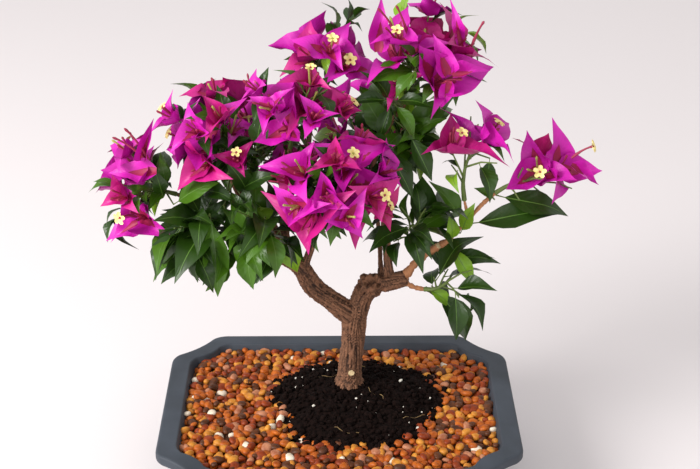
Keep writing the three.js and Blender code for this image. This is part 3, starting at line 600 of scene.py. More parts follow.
def leaf_place(base, side, other, tangent, way, angle, length):
    """A leaf that leans along its shoot and outwards, and droops."""
    along = unit(
        side * math.cos(angle) + other * math.sin(angle) + tangent * LEAF["lean_shoot"]
        + way * LEAF["lean_out"] - UP * LEAF["lean_down"]
    )
    face = square_to(along, UP + way * LEAF["tilt"])
    return dict(base=base, along=along, face=face, length=length, width=length * LEAF["aspect"])


def add_leaf(space, grown, at, way, angle, full, apart, spray):
    """One leaf at a place on a shoot, turned round it and then made smaller until it fits."""
    base, tangent = at
    side = square_to(tangent, UP)
    other = np.cross(tangent, side)
    for shrink in SHRINKS:
        for extra in LEAF_TURNS:
            leaf = leaf_place(base, side, other, tangent, way, angle + extra, full * shrink)
            corners = blade_corners(leaf, LEAF)
            if not crowded(grown, corners, apart) and blade_fits(space, corners):
                grown["marks"].append(blade_marks(corners))
                grown["leaves"].append(dict(leaf, spray=spray))
                return


def add_leaves(mass, space, grown, shoot, random):
    """The large leaves of one shoot, in a spiral."""
    points, way, size = shoot["points"], shoot["way"], shoot["size"]
    start, span = LEAF["under_head"] if size else LEAF["on_shoot"]
    count = max(3, int(distance(points[0], points[-1]) / LEAF["spacing"] + 0.5))
    low, high = LEAF["sizes"]
    for i in range(count):
        full = mass["leaf"] * (low + (high - low) * random()) * (LEAF["head_size"] if size else 1)
        at = on_chain(points, start + span * (i + 1) / count)
        angle = shoot["turn"] + i * GOLDEN_ANGLE
        add_leaf(space, grown, at, way, angle, full, LEAF["apart"], shoot["turn"])


def add_fine_leaves(name, grown, index):
    """Small leaves between the large ones, on finer twigs than the solids have."""
    mass, space = MASSES[name], grown["space"]
    random = seeded(FINE["seed"] + index)
    low, high = FINE["sizes"]
    for shoot in grown["shoots"] + [dict(points=grown["stem"], way=UP, turn=0)]:
        points = shoot["points"]
        count = max(3, int(distance(points[0], points[-1]) / FINE["spacing"]))
        turn = random() * 2 * math.pi
        for i in range(count):
            full = mass["leaf"] * (low + (high - low) * random())
            at = on_chain(points, 0.12 + 0.84 * i / count)
            angle = turn + i * GOLDEN_ANGLE
            add_leaf(space, grown, at, shoot["way"], angle, full, FINE["apart"], shoot["turn"])


def add_fine_heads(name, grown, index):
    """Smaller flower heads on finer twigs, between the large ones."""
    space = grown["space"]
    random = seeded(FINE_HEADS["seed"] + index)
    turn = random() * 2 * math.pi
    low, high = FINE_HEADS["sizes"]
    tries = FINE_HEADS["few" if name in FULL_MASSES else "tries"]
    if not MASSES[name]["heads"] or name in OPEN_MASSES:
        return
    for k in range(tries):
        out = way_out(1 - FINE_HEADS["spread"] * (k + 0.5) / tries, turn + k * GOLDEN_ANGLE)
        size = low + (high - low) * random()
        draws = [random(), random(), random()]
        far = space.depth(space.middle, out) - BRACT["length"] * size * FINE_HEADS["inside"]
        end = space.middle + out * max(far, 4)
        near = any(distance(end, head["base"]) < FINE_HEADS["apart"] for head in grown["heads"])
        outside = (((OPEN_PLACES - end) ** 2).sum(1) < OPEN_REACH**2).any()
        if near or outside or end[2] > CEILING.get(name, CAD_BOX[1][2] / MM):
            continue
        way = head_way(out, end)
        if add_head(space, grown, end, way, size, draws):
            start = on_chain(grown["stem"], 0.4 + 0.5 * k / tries)[0]
            add_shoot(grown, [start, end], way, size, draws[0] * 2 * math.pi)


def hides_a_head(leaf, bases, ways, sizes):
    """Whether a leaf stands in front of a flower head's face."""
    from_head = blade_marks(blade_corners(leaf, LEAF))[:, None] - bases
    ahead = (from_head * ways).sum(2)
    beside = np.sqrt(np.maximum((from_head**2).sum(2) - ahead**2, 0))
    in_front = (ahead > HEAD_VIEW["near"]) & (ahead < HEAD_VIEW["far"] * sizes)
    return bool((in_front & (beside < HEAD_VIEW["root"] + ahead * HEAD_VIEW["widens"])).any())


def add_open_heads():
    """The large heads that face outwards, in place of any that would stand through them."""
    for name, at, size, way in OPEN_HEADS:
        grown, end, way = PLANT[name], np.array(at, float), unit(np.array(way))
        clear = OPEN_HEAD["clear"]
        grown["heads"] = [h for h in grown["heads"] if "open" in h or distance(h["base"], end) > clear]
        base = end - way * BRACT["length"] * size * HEAD_SET_BACK
        bracts = []
        for k in range(3):
            opening = BRACT["open"] + OPEN_HEAD["step"] * (k - 1)
            angle = (k + OPEN_HEAD["turn"]) * 2 * math.pi / 3
            bracts.append(bract_of(base, way, angle, opening, BRACT["length"] * size))
        grown["heads"].append(dict(base=base, way=way, size=size, bracts=bracts, open=True))
        add_shoot(grown, [on_chain(grown["stem"], 0.7)[0], base], way, size, 0)


def clear_blade(foot, tip, width):
    """A single leaf or bract, as the growing rule would hold it."""
    foot, tip = np.array(foot, float), np.array(tip, float)
    length = distance(foot, tip)
    along = (tip - foot) / length
    face = square_to(along, np.array([0, -0.7, 0.75]))
    return dict(base=foot, along=along, face=face, length=length, width=length * width,
                spray=length, phase=length)


PLANT = {}


def grown_plant():
    """Every mass, grown once and kept."""
    if not PLANT:
        for index, name in enumerate(MASSES):
            PLANT[name] = grow_mass(name)
            add_fine_heads(name, PLANT[name], index)
            if name not in OPEN_MASSES:
                add_fine_leaves(name, PLANT[name], index)
        add_open_heads()
        for name, share in KEPT_LEAVES.items():
            leaves = PLANT[name]["leaves"]
            PLANT[name]["leaves"] = [leaf for i, leaf in enumerate(leaves) if i * 0.618 % 1 < share]
        heads = [head for grown in PLANT.values() for head in grown["heads"]]
        bases, ways = np.array([h["base"] for h in heads]), np.array([h["way"] for h in heads])
        sizes = np.array([h["size"] for h in heads])
        for grown in PLANT.values():
            clear = [leaf for leaf in grown["leaves"] if not hides_a_head(leaf, bases, ways, sizes)]
            grown["leaves"] = clear
        PLANT["foliage_right_tip"]["leaves"] += [
            dict(clear_blade(foot, tip, width), tone=tone) for foot, tip, width, tone in CLEAR_LEAVES
        ]
    return PLANT


# ---------------------------------------------------------------- meshes
def place(piece, slot, *nodes):
    """A finished piece rides with the plant and stands for its nodes. The slot is not used."""
    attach(piece, "root")
    if nodes:
        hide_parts(*nodes)
    return piece


def object_of(name, mesh, material):
    """An object in the scene with one material."""
    mesh.materials.append(material)
    piece = bpy.data.objects.new(name, mesh)
    bpy.context.scene.collection.objects.link(piece)
    return piece


def finish_bmesh(bm, name, material, smooth=True):
    """A bmesh made into an object."""
    mesh = bpy.data.meshes.new(name)
    bm.to_mesh(mesh)
    bm.free()
    mesh.shade_smooth() if smooth else mesh.shade_flat()
    return object_of(name, mesh, material)


def template_of(bm):
    """The corners and faces of a small shape, to be repeated."""
    bm.verts.ensure_lookup_table()
    corners = np.array([v.co for v in bm.verts])
    faces = np.array([[v.index for v in f.verts] for f in bm.faces])
    bm.free()
    return corners, faces


def repeated(name, corners, faces, material, uv=None):
    """One smooth mesh of many copies: corners has a row of places for each copy."""
    copies, count = corners.shape[:2]
    loops = (faces[None] + np.arange(copies)[:, None, None] * count).reshape(-1)
    sides = faces.shape[1]
    mesh = bpy.data.meshes.new(name)
    mesh.vertices.add(copies * count)
    mesh.vertices.foreach_set("co", (corners * MM).astype(np.float32).ravel())
    mesh.loops.add(len(loops))
    mesh.loops.foreach_set("vertex_index", loops.astype(np.int32))
    mesh.polygons.add(len(loops) // sides)
    mesh.polygons.foreach_set("loop_start", np.arange(0, len(loops), sides, dtype=np.int32))
    if uv is not None:
        layer = mesh.uv_layers.new(name="UVMap")
        layer.data.foreach_set("uv", np.tile(uv, (copies, 1))[loops].astype(np.float32).ravel())
    mesh.update(calc_edges=True)
    mesh.shade_smooth()
    return object_of(name, mesh, material)


def tubes(name, runs, material, sides=2):
    """One mesh of many round twigs. Each run is its points and its radius at each of them, in mm."""
    curve = bpy.data.curves.new(name, "CURVE")
    curve.dimensions = "3D"
    curve.bevel_depth = 1.0
    curve.bevel_resolution = sides
    curve.use_fill_caps = True
    for points, radii in runs:
        spline = curve.splines.new("POLY")
        spline.points.add(len(points) - 1)
        spline.points.foreach_set("co", [c for p in points for c in (*(np.array(p) * MM), 1)])
        spline.points.foreach_set("radius", [r * MM for r in radii])
    source = bpy.data.objects.new(name, curve)
    bpy.context.scene.collection.objects.link(source)
    depsgraph = bpy.context.evaluated_depsgraph_get()
    mesh = bpy.data.meshes.new_from_object(source.evaluated_get(depsgraph))
    bpy.data.objects.remove(source)
    bpy.data.curves.remove(curve)
    mesh.name = name
    mesh.materials.clear()
    mesh.shade_smooth()
    return object_of(name, mesh, material)


def blade_template(along, across):
    """A flat strip whose corners run from 0 to 1 along it and -1 to 1 across."""
    bm = bmesh.new()
    bmesh.ops.create_grid(bm, x_segments=along, y_segments=across, size=1)
    corners, faces = template_of(bm)
    return np.stack([(corners[:, 0] + 1) / 2, corners[:, 1]], axis=1), faces


def blade_meshes(name, blades, template, material, form, lift=0.0, narrow=None, until=1.0):
    """Leaves or bracts: each template corner is laid on its own blade's folded, curled surface."""
    flat, faces = template
    u, v = flat[:, 0][None] * until, flat[:, 1][None]

    def column(key):
        return np.array([b[key] for b in blades])[:, None]

    along, face, base = column("along"), column("face"), column("base")
    side = np.cross(face, along)
    length, width, phase = column("length") * form["size"], column("width") * form["size"], column("phase")
    stations, halves = zip(*form["outline"])
    outline = np.interp(u, stations, halves)
    if narrow:
        outline = np.minimum(outline, narrow * (1 - u / until) ** 0.7)
    across = outline * v
    edge = np.abs(across)
    wave = form["wave"] * np.sin(u * form["waves"] * 2 * math.pi + phase + np.sign(across) * 1.3) * edge**2
    belly = form["belly"] * (1 + 0.4 * np.sin(phase * 3.1)) * np.sin(math.pi * u)
    curl = form["curl"] * (1 + 0.6 * np.sin(phase * 1.7)) * np.clip((u - form["curls_at"]) / 0.4, 0, 1.2) ** 2
    fold = form["fold"] * (1 + 0.7 * np.sin(phase * 2.7)) * (1 - 0.5 * u) * edge**1.3
    height = fold - belly - curl + wave + lift / length
    reach = form["start"] + (1 - form["start"]) * u
    bend = form["sway"] * np.sin(phase) * u * u
    twist = form["twist"] * np.sin(phase * 2.3) * u
    beside = across * width * form["breadth"] / 2
    corners = (
        base + along * (reach * length)[..., None]
        + side * (beside * np.cos(twist) + bend * length)[..., None]
        + face * (height * length + beside * np.sin(twist))[..., None]
    )
    return repeated(name, corners, faces, material, np.stack([u[0], (v[0] + 1) / 2], axis=1))


# Half the width of a blade at stations along it, as a share of its greatest half-width.
LEAF_FORM = dict(
    outline=[(0, 0.04), (0.07, 0.3), (0.16, 0.62), (0.3, 0.92), (0.42, 1), (0.56, 0.9), (0.7, 0.64),
             (0.82, 0.35), (0.92, 0.13), (1, 0)],
    size=1.0, breadth=0.86, start=0.12, fold=0.11, belly=-0.07, curl=0.13, curls_at=0.5, wave=0.03, waves=1.6,
    sway=0.07, twist=0.35,
)
BRACT_FORM = dict(
    outline=[(0, 0.3), (0.06, 0.62), (0.15, 0.87), (0.27, 0.98), (0.37, 1), (0.5, 0.94), (0.63, 0.77),
             (0.75, 0.51), (0.86, 0.24), (0.94, 0.08), (1, 0)],
    size=0.93, breadth=0.9, start=0.02, fold=0.34, belly=0.14, curl=0.3, curls_at=0.5, wave=0.1, waves=1.9,
    sway=0.1, twist=0.8,
)


def round_template():
    """A round stone of a few dozen faces, made from a cube."""
    bm = bmesh.new()
    bmesh.ops.create_cube(bm, size=2)
    bmesh.ops.subdivide_edges(bm, edges=bm.edges, cuts=2, use_grid_fill=True)
    for v in bm.verts:
        v.co.normalize()
    return template_of(bm)


def turned(rng, count, tilt):
    """Turning matrices: any way round upright, and leaning by up to tilt."""
    yaw = rng.uniform(0, 2 * math.pi, count)
    lean, lean_way = rng.uniform(0, tilt, count), rng.uniform(0, 2 * math.pi, count)
    cy, sy, zero, one = np.cos(yaw), np.sin(yaw), np.zeros(count), np.ones(count)
    upright = np.array([[cy, -sy, zero], [sy, cy, zero], [zero, zero, one]]).transpose(2, 0, 1)
    x, y = np.cos(lean_way), np.sin(lean_way)
    c, s = np.cos(lean), np.sin(lean)
    leaning = np.array([
        [c + x * x * (1 - c), x * y * (1 - c), y * s],
        [x * y * (1 - c), c + y * y * (1 - c), -x * s],
        [-y * s, x * s, c],
    ]).transpose(2, 0, 1)
    return leaning @ upright


def stones(name, at, sizes, shape, lumps, tilt, rng, material):
    """Many lumpy stones joined in one mesh. Each has its own place, size and turn."""
    corners, faces = round_template()
    count = len(at)
    waves = rng.normal(size=(count, 3, 3)) * 1.6
    phases = rng.uniform(0, 2 * math.pi, (count, 3, 1))
    bumps = np.sin(np.einsum("nij,kj->nik", waves, corners) + phases).sum(1) * lumps
    radii = np.array(sizes)[:, None, None] * (1 + bumps[..., None])
    stretch = np.array(shape) * rng.uniform(0.85, 1.15, (count, 3))
    local = corners[None] * radii * stretch[:, None]
    placed = np.einsum("nij,nkj->nki", turned(rng, count, tilt), local) + np.array(at)[:, None]
    return repeated(name, placed, faces, material)


# ---------------------------------------------------------------- materials
def node(tree, kind, x, y, **settings):
    """A shader node at its place in the tree."""
    made = tree.nodes.new(kind)
    made.location = (x, y)
    for key, value in settings.items():
        setattr(made, key, value)
    return made


def fill_in(made, **values):
    """Sets a node's own sockets."""
    for socket, value in values.items():
        made.inputs[socket.replace("_", " ")].default_value = value


def wire(tree, *rows):
    """Links nodes: each row is a node, its output, the node that takes it, and the input."""
    for source, out, target, into in rows:
        tree.links.new(source.outputs[out], target.inputs[into])


def maths(tree, operation, x, y, index=None, value=0.0, **settings):
    """A Math node, with a plain value on one of its inputs."""
    made = node(tree, "ShaderNodeMath", x, y, operation=operation, **settings)
    if index is not None:
        made.inputs[index].default_value = value
    return made


def group_of(name, inputs, outputs):
    """A shader node group. A socket's default is a number, a vector of 3 or a colour of 4."""
    kinds = {1: "NodeSocketFloat", 3: "NodeSocketVector", 4: "NodeSocketColor"}
    tree = bpy.data.node_groups.new(name, "ShaderNodeTree")
    for side, sockets in (("INPUT", inputs), ("OUTPUT", outputs)):
        for label, default in sockets.items():
            size = len(default) if isinstance(default, tuple) else 1
            socket = tree.interface.new_socket(name=label, in_out=side, socket_type=kinds[size])
            socket.default_value = default
    return tree, node(tree, "NodeGroupInput", -700, 0), node(tree, "NodeGroupOutput", 500, 0)


def mottle_group():
    """Two colours mixed by noise on the object's own coordinates, and the noise's height."""
    if "mottle" in bpy.data.node_groups:
        return bpy.data.node_groups["mottle"]
    tree, given, put = group_of(
        "mottle",
        dict(Dark=(0, 0, 0, 1), Light=(1, 1, 1, 1), Scale=50, Stretch=(1, 1, 1), Contrast=2),
        dict(Colour=(0, 0, 0, 1), Height=0),
    )
    coordinates = node(tree, "ShaderNodeTexCoord", -700, 300)
    stretch = node(tree, "ShaderNodeMapping", -500, 200)
    grain = node(tree, "ShaderNodeTexNoise", -300, 200)
    fill_in(grain, Detail=5)
    centred = maths(tree, "SUBTRACT", -120, 0, 1, 0.5)
    spread = maths(tree, "MULTIPLY_ADD", 20, 0, 2, 0.5, use_clamp=True)
    mix = node(tree, "ShaderNodeMix", 220, 0, data_type="RGBA")
    wire(
        tree,
        (coordinates, "Object", stretch, "Vector"), (given, "Stretch", stretch, "Scale"),
        (stretch, "Vector", grain, "Vector"), (given, "Scale", grain, "Scale"),
        (grain, "Fac", centred, 0), (centred, 0, spread, 0), (given, "Contrast", spread, 1),
        (spread, 0, mix, "Factor"), (given, "Dark", mix, "A"), (given, "Light", mix, "B"),
        (mix, "Result", put, "Colour"), (grain, "Fac", put, "Height"),
    )
    return tree


def veins_group():
    """The height of slanting side veins on a blade, from its UV map: u along it and v across."""
    if "veins" in bpy.data.node_groups:
        return bpy.data.node_groups["veins"]
    tree, given, put = group_of("veins", dict(Count=8, Slant=0.5), dict(Height=0))
    uv = node(tree, "ShaderNodeUVMap", -700, 300, uv_map="UVMap")
    split = node(tree, "ShaderNodeSeparateXYZ", -540, 300)
    centred = maths(tree, "SUBTRACT", -380, 200, 1, 0.5)
    side = maths(tree, "ABSOLUTE", -240, 200)
    slanted = maths(tree, "MULTIPLY", -100, 200)
    run = maths(tree, "SUBTRACT", 20, 300)
    turns = maths(tree, "MULTIPLY", 140, 300)
    wave = maths(tree, "PINGPONG", 260, 300, 1, 0.5)
    wire(
        tree,
        (uv, "UV", split, 0), (split, "Y", centred, 0), (centred, 0, side, 0), (side, 0, slanted, 0),
        (given, "Slant", slanted, 1), (split, "X", run, 0), (slanted, 0, run, 1), (run, 0, turns, 0),
        (given, "Count", turns, 1), (turns, 0, wave, 0), (wave, 0, put, "Height"),
    )
    return tree


def finish_of(name, dark, light, scale, stretch=(1, 1, 1), contrast=2.0, roughness=0.6, bump=0.3,
              depth=0.0004, veins=None, **sockets):
    """A material of two mottled colours with a bump, and side veins where it is for a blade."""
    material = bpy.data.materials.new(name)
    material.use_nodes = True
    tree = material.node_tree
    shader = tree.nodes["Principled BSDF"]
    fill_in(shader, Roughness=roughness, **sockets)
    mottle = node(tree, "ShaderNodeGroup", -500, 100, node_tree=mottle_group())
    fill_in(mottle, Dark=(*dark, 1), Light=(*light, 1), Scale=scale, Stretch=stretch, Contrast=contrast)
    relief = node(tree, "ShaderNodeBump", -250, -200)
    fill_in(relief, Strength=bump, Distance=depth)
    wire(tree, (mottle, "Colour", shader, "Base Color"), (relief, "Normal", shader, "Normal"))
    if not veins:
        wire(tree, (mottle, "Height", relief, "Height"))
        return material
    count, slant, share = veins
    ribs = node(tree, "ShaderNodeGroup", -700, -200, node_tree=veins_group())
    fill_in(ribs, Count=count, Slant=slant)
    both = maths(tree, "MULTIPLY_ADD", -450, -200, 1, share)
    wire(tree, (ribs, "Height", both, 0), (mottle, "Height", both, 2), (both, 0, relief, "Height"))
    return material


def shaded(name, colour, shade, scale, **settings):
    """A finish in one colour, whose dark mottles are a share of it."""
    return finish_of(name, [c * shade for c in colour], colour, scale, **settings)


# ---------------------------------------------------------------- what a user may change
class TraySettings(bpy.types.PropertyGroup):
    colour: colour_prop("Slate", "The tray's own colour", (43, 49, 57))
    scuffed: colour_prop("Scuffed", "Where the plastic is rubbed or dusty", (60, 67, 77))


class GroundSettings(bpy.types.PropertyGroup):
    soil: colour_prop("Soil", "Damp growing mix", (18, 9, 7))
    clods: IntProperty(name="Clods", description="Loose clods on the mound", default=1500, min=0)
    specks: IntProperty(name="Specks", description="White specks in the mix", default=48, min=0)
    pebbles: IntProperty(name="Pebbles", description="Pebbles tried in each layer", default=5200, min=0)
    pebble: length_prop("Pebble", "Usual half-size of a pebble", 0.0033)


class BarkSettings(bpy.types.PropertyGroup):
    # The cracks' colour is darker bark with painted shade deep in the cracks.
    crack: colour_prop("Cracks", "Deep in the bark", (36, 20, 13))
    ridge: colour_prop("Ridges", "The bark's weathered ridges", (150, 104, 76))
    young: colour_prop("Young bark", "Bark of this year's shoots", (196, 134, 90))
    cut: colour_prop("Cut wood", "Old pruning cuts", (222, 196, 150))
    relief: length_prop("Relief", "Depth of the bark's cracks", 0.0016)
    fineness: length_prop("Fineness", "Size of the bark mesh's faces", 0.00068)


class FoliageSettings(bpy.types.PropertyGroup):
    dark: colour_prop("Old leaves", "The darkest leaves", (40, 69, 14))
    middle: colour_prop("Leaves", "Most of the leaves", (70, 111, 20))
    young: colour_prop("Young leaves", "The newest leaves", (130, 174, 42))
    rib: colour_prop("Ribs", "The leaves' midribs", (88, 126, 46))
    shoot: colour_prop("Shoots", "Green twigs and leaf stalks", (104, 124, 58))


class BlossomSettings(bpy.types.PropertyGroup):
    bright: colour_prop("Bracts", "Bracts in full colour", (208, 20, 174))
    # Deep bracts: the bracts' own deeper pink, darkened further as painted shade.
    deep: colour_prop("Deep bracts", "Older, deeper bracts", (196, 14, 128))
    young: colour_prop("Young bracts", "Bracts that are still opening", (196, 26, 116))
    # The throats' colour is the bracts' deeper base with painted shade in the hollow of the cup.
    throat: colour_prop("Throats", "The foot of each bract", (168, 14, 78))
    tube: colour_prop("Tubes", "The flowers' tubes", (156, 38, 72))
    tube_young: colour_prop("Young tubes", "Tubes of the newest flowers", (172, 168, 84))
    star: colour_prop("Stars", "The open flowers", (250, 240, 176))


class StageSettings(bpy.types.PropertyGroup):
    floor: colour_prop("Floor", "The plain floor", (230, 224, 225))
    key: FloatProperty(name="Key light", description="Power of the soft key light", default=56, min=0)
    fill: FloatProperty(name="Fill", description="Strength of the light all round", default=0.78, min=0)


SETTINGS = dict(
    bonsai_tray=TraySettings, bonsai_ground=GroundSettings, bonsai_bark=BarkSettings,
    bonsai_foliage=FoliageSettings, bonsai_blossom=BlossomSettings, bonsai_stage=StageSettings,
)


# ---------------------------------------------------------------- tray
def tray_ring(inset, height, steps=6):
    """The tray's octagon with rounded corners and bowed cut corners, taken in by an inset."""
    x, y = TRAY["width"] / 2 - inset, TRAY["depth"] / 2 - inset
    cut = TRAY["corner"] - inset * (2 - math.sqrt(2))
    corners = np.array([
        (x, cut - y), (x, y - cut), (x - cut, y), (cut - x, y),
        (-x, y - cut), (-x, cut - y), (cut - x, -y), (x - cut, -y),
    ], float)
    shares = [i / steps for i in range(steps)]

    def curve(start, middle, end):
        return [start * (1 - t) ** 2 + middle * 2 * t * (1 - t) + end * t**2 for t in shares]

    ring = []
    for i, corner in enumerate(corners):
        before, after = corners[i - 1], corners[(i + 1) % 8]
        start = corner + unit(before - corner) * TRAY["rounding"]
        end = corner + unit(after - corner) * TRAY["rounding"]
        ring += curve(start, corner, end)
        following = after + unit(corner - after) * TRAY["rounding"]
        if i % 2:
            middle = (corner + after) / 2
            ring += curve(end, middle - unit(middle) * 2 * TRAY["dent"], following)
        else:
            ring += [end * (1 - t) + following * t for t in shares]
    return [Vector((px, py, height)) * MM for px, py in ring]


def skin(bm, rings):
    """A wall through closed rings of points, extruded from one to the next; returns its end edges."""
    verts = [bm.verts.new(p) for p in rings[0]]
    edges = [bm.edges.new((verts[i - 1], verts[i])) for i in range(len(verts))]
    first = edges
    for ring in rings[1:]:
        order = {v.co.to_tuple(): i for i, v in enumerate(verts)}
        made = bmesh.ops.extrude_edge_only(bm, edges=edges)["geom"]
        edges = [g for g in made if isinstance(g, bmesh.types.BMEdge)]
        verts = [g for g in made if isinstance(g, bmesh.types.BMVert)]
        verts.sort(key=lambda v: order[v.co.to_tuple()])
        for v, p in zip(verts, ring):
            v.co = p
    return first, edges


class BONSAI_OT_tray(bpy.types.Operator):
    """The tray, from its underside round the rim and down to its floor"""

    bl_idname = "bonsai.tray"
    bl_label = "Tray"

    def execute(self, context):
        look = context.scene.bonsai_tray
        bm = bmesh.new()
        profile = TRAY["outside"] + TRAY["inside"]
        underside, floor = skin(bm, [tray_ring(inset, height) for inset, height in profile])
        bmesh.ops.edgeloop_fill(bm, edges=underside)
        bmesh.ops.edgeloop_fill(bm, edges=floor)
        bmesh.ops.recalc_face_normals(bm, faces=bm.faces)
        slate = finish_of(
            "slate_plastic", look.colour, look.scuffed, 34, contrast=2.4, roughness=0.62,
            bump=0.25, depth=0.0003,
        )
        tray = finish_bmesh(bm, "tray_shell", slate)
        rounded = tray.modifiers.new("rounded_edges", "BEVEL")
        rounded.width, rounded.segments, rounded.angle_limit = 0.0006, 2, math.radians(25)
        even = tray.modifiers.new("even_shading", "WEIGHTED_NORMAL")
        even.keep_sharp = True
        place(tray, "tray", "tray")
        return {"FINISHED"}


# ---------------------------------------------------------------- growing mix and gravel
def mound_height(x, y):
    """The height of the mound's slope over a place, in millimetres, and 0 where it ends."""
    angle = math.atan2(y - MOUND["y"], x - MOUND["x"])
    uneven = 1 + 0.05 * math.sin(3 * angle + 0.6) + 0.04 * math.sin(5 * angle)
    edge = MOUND["radius"] * uneven
    share = (math.hypot(x - MOUND["x"], y - MOUND["y"]) - MOUND["plateau"]) / (edge - MOUND["plateau"])
    if share >= 1:
        return 0
    shares, heights = zip(*reversed(MOUND["slope"]))
    return float(np.interp(max(share, 0), shares, heights))


def scattered(count, gap, inside, rng, half=(125, 94)):
    """Places that keep a gap from each other, in millimetres."""
    kept, cells = [], {}
    for x, y in rng.uniform(-1, 1, (count, 2)) * half:
        if not inside(x, y):
            continue
        cell = (int(x // gap), int(y // gap))
        round_it = [(cell[0] + i, cell[1] + j) for i in (-1, 0, 1) for j in (-1, 0, 1)]
        near = [p for other in round_it for p in cells.get(other, ())]
        if any(math.hypot(x - px, y - py) < gap for px, py in near):
            continue
        cells.setdefault(cell, []).append((x, y))
        kept.append((x, y))
    return kept


def in_tray(x, y, inset):
    """Whether a place is on the tray's floor, an inset away from its rim."""
    half_x, half_y = TRAY["width"] / 2 - inset, TRAY["depth"] / 2 - inset
    corner = TRAY["corner"] - inset * (2 - math.sqrt(2)) + 2
    return abs(x) < half_x and abs(y) < half_y and abs(x) + abs(y) < half_x + half_y - corner


class BONSAI_OT_growing_mix(bpy.types.Operator):
    """The mound of dark growing mix, with clods, white specks and rootlets"""

    bl_idname = "bonsai.growing_mix"
    bl_label = "Growing mix"

    def execute(self, context):
        look = context.scene.bonsai_ground
        rng = np.random.default_rng(21)
        soil = finish_of(
            "damp_mix", [c * 0.45 for c in look.soil], [c * 1.9 for c in look.soil], 420,
            contrast=3.5, roughness=1.0, bump=0.9, depth=0.0012, Specular_IOR_Level=0.1,
        )
        bm = bmesh.new()
        bmesh.ops.create_grid(bm, x_segments=110, y_segments=110, size=0.079)
        for v in bm.verts:
            x, y = v.co.x / MM + MOUND["x"], v.co.y / MM + MOUND["y"]
            lumps = noise.noise(Vector((x, y, 3)) / 9) * 1.6 + noise.noise(Vector((x, y, 7)) / 3.2) * 1.1
            v.co = Vector((x, y, max(mound_height(x, y) + lumps - 0.4, 57))) * MM
        hidden = [f for f in bm.faces if f.calc_center_median().z < 60 * MM]
        bmesh.ops.delete(bm, geom=hidden, context="FACES")
        place(finish_bmesh(bm, "soil_mound", soil), "growing_mix", "growing_mix")

        on_mound = scattered(look.clods * 3, 2.1, lambda x, y: mound_height(x, y) > 62, rng)
        on_mound = on_mound[: look.clods]
        at = [(x, y, mound_height(x, y) + rng.uniform(-0.6, 0.7)) for x, y in on_mound]
        sizes = rng.uniform(0.7, 2.3, len(at)) ** 1.15
        clods = stones("soil_clods", at, sizes, (1.2, 1, 0.8), 0.14, 3.1, rng, soil)
        place(clods, "growing_mix")

        white = finish_of("white_specks", srgb(196, 188, 172), srgb(240, 236, 226), 900, roughness=0.8)
        on_mound = scattered(look.specks * 4, 5, lambda x, y: mound_height(x, y) > 65, rng)
        on_mound = on_mound[: look.specks]
        at = [(x, y, mound_height(x, y) + 0.7) for x, y in on_mound]
        sizes = 0.3 + rng.random(len(at)) ** 3 * 1.3
        specks = stones("white_specks", at, sizes, (1, 1, 0.8), 0.1, 3.1, rng, white)
        place(specks, "growing_mix")

        straw = finish_of("straw_rootlets", srgb(98, 76, 46), srgb(150, 124, 80), 300, roughness=0.9)
        runs = []
        for x, y in ROOTLETS:
            way = rng.uniform(0, 2 * math.pi)
            points = []
            for step in range(9):
                way += rng.normal() * 0.35
                x, y = x + 2.6 * math.cos(way), y + 2.6 * math.sin(way)
                points.append((x, y, max(mound_height(x, y), 64) + 0.9 + 0.9 * math.sin(step * 1.1)))
            runs.append((points, [0.24 + 0.08 * math.sin(s) for s in range(9)]))
        place(tubes("rootlets", runs, straw, sides=1), "growing_mix")
        return {"FINISHED"}


class BONSAI_OT_gravel(bpy.types.Operator):
    """Three layers of small rounded pebbles round the mound, and a few that have rolled on to it"""

    bl_idname = "bonsai.gravel"
    bl_label = "Gravel"

    def execute(self, context):
        look = context.scene.bonsai_ground
        rng = np.random.default_rng(GRAVEL["seed"])
        bed = finish_of("gravel_bed", srgb(60, 34, 20), srgb(120, 72, 38), 260, roughness=0.9, bump=0.8)
        bm = bmesh.new()
        skin(bm, [tray_ring(60, 61), tray_ring(17.5, 61)])
        place(finish_bmesh(bm, "gravel_bed", bed), "gravel", "gravel")

        at, sizes = [], []
        usual = look.pebble / MM
        for above, gap, scale in LAYERS:
            level = GRAVEL["level"] + above

            def inside(x, y):
                return in_tray(x, y, GRAVEL["edge"]) and mound_height(x, y) < level + 2

            for x, y in scattered(look.pebbles, gap, inside, rng):
                sizes.append(usual * scale * rng.uniform(0.7, 1.3))
                at.append((x, y, level + rng.uniform(-0.6, 0.8)))

        def spilt(x, y):
            return math.hypot(x - SPILL["x"], y - SPILL["y"]) < SPILL["radius"]

        for x, y in scattered(SPILL["tries"], SPILL["gap"], spilt, rng):
            sizes.append(usual * rng.uniform(0.7, 1.1))
            at.append((x, y, max(mound_height(x, y), level) + 1))
        names = list(PEBBLE_COLOURS)
        shares = np.array([PEBBLE_COLOURS[n][2] for n in names])
        kinds = rng.choice(len(names), len(at), p=shares / shares.sum())
        at, sizes = np.array(at), np.array(sizes)
        for k, name in enumerate(names):
            dark, light, _ = PEBBLE_COLOURS[name]
            stone = finish_of(
                f"pebble_{name}", srgb(*dark), srgb(*light), 230, contrast=2.6, roughness=0.48,
                bump=0.35, depth=0.0005, Specular_IOR_Level=0.3,
            )
            chosen = kinds == k
            pebbles = stones(
                f"pebbles_{name}", at[chosen], sizes[chosen], (1.3, 1.05, 0.78), 0.06, 0.7, rng, stone,
            )
            place(pebbles, "gravel")
        return {"FINISHED"}


# ---------------------------------------------------------------- bark
def limb_frame():
    """Each limb's segments for the bark's pattern: start, step, radius, length so far and offset."""
    rows = []
    for index, name in enumerate(LIMBS):
        points = limb_chain(name, PATTERN_RINGS)
        so_far = 0
        for i in range(PATTERN_RINGS):
            step = points[i + 1] - points[i]
            rows.append((points[i], step, limb_radius(name, i / PATTERN_RINGS), so_far, index * 37.0))
            so_far += math.sqrt(step @ step)
    return [np.array(column, float) for column in zip(*rows)]


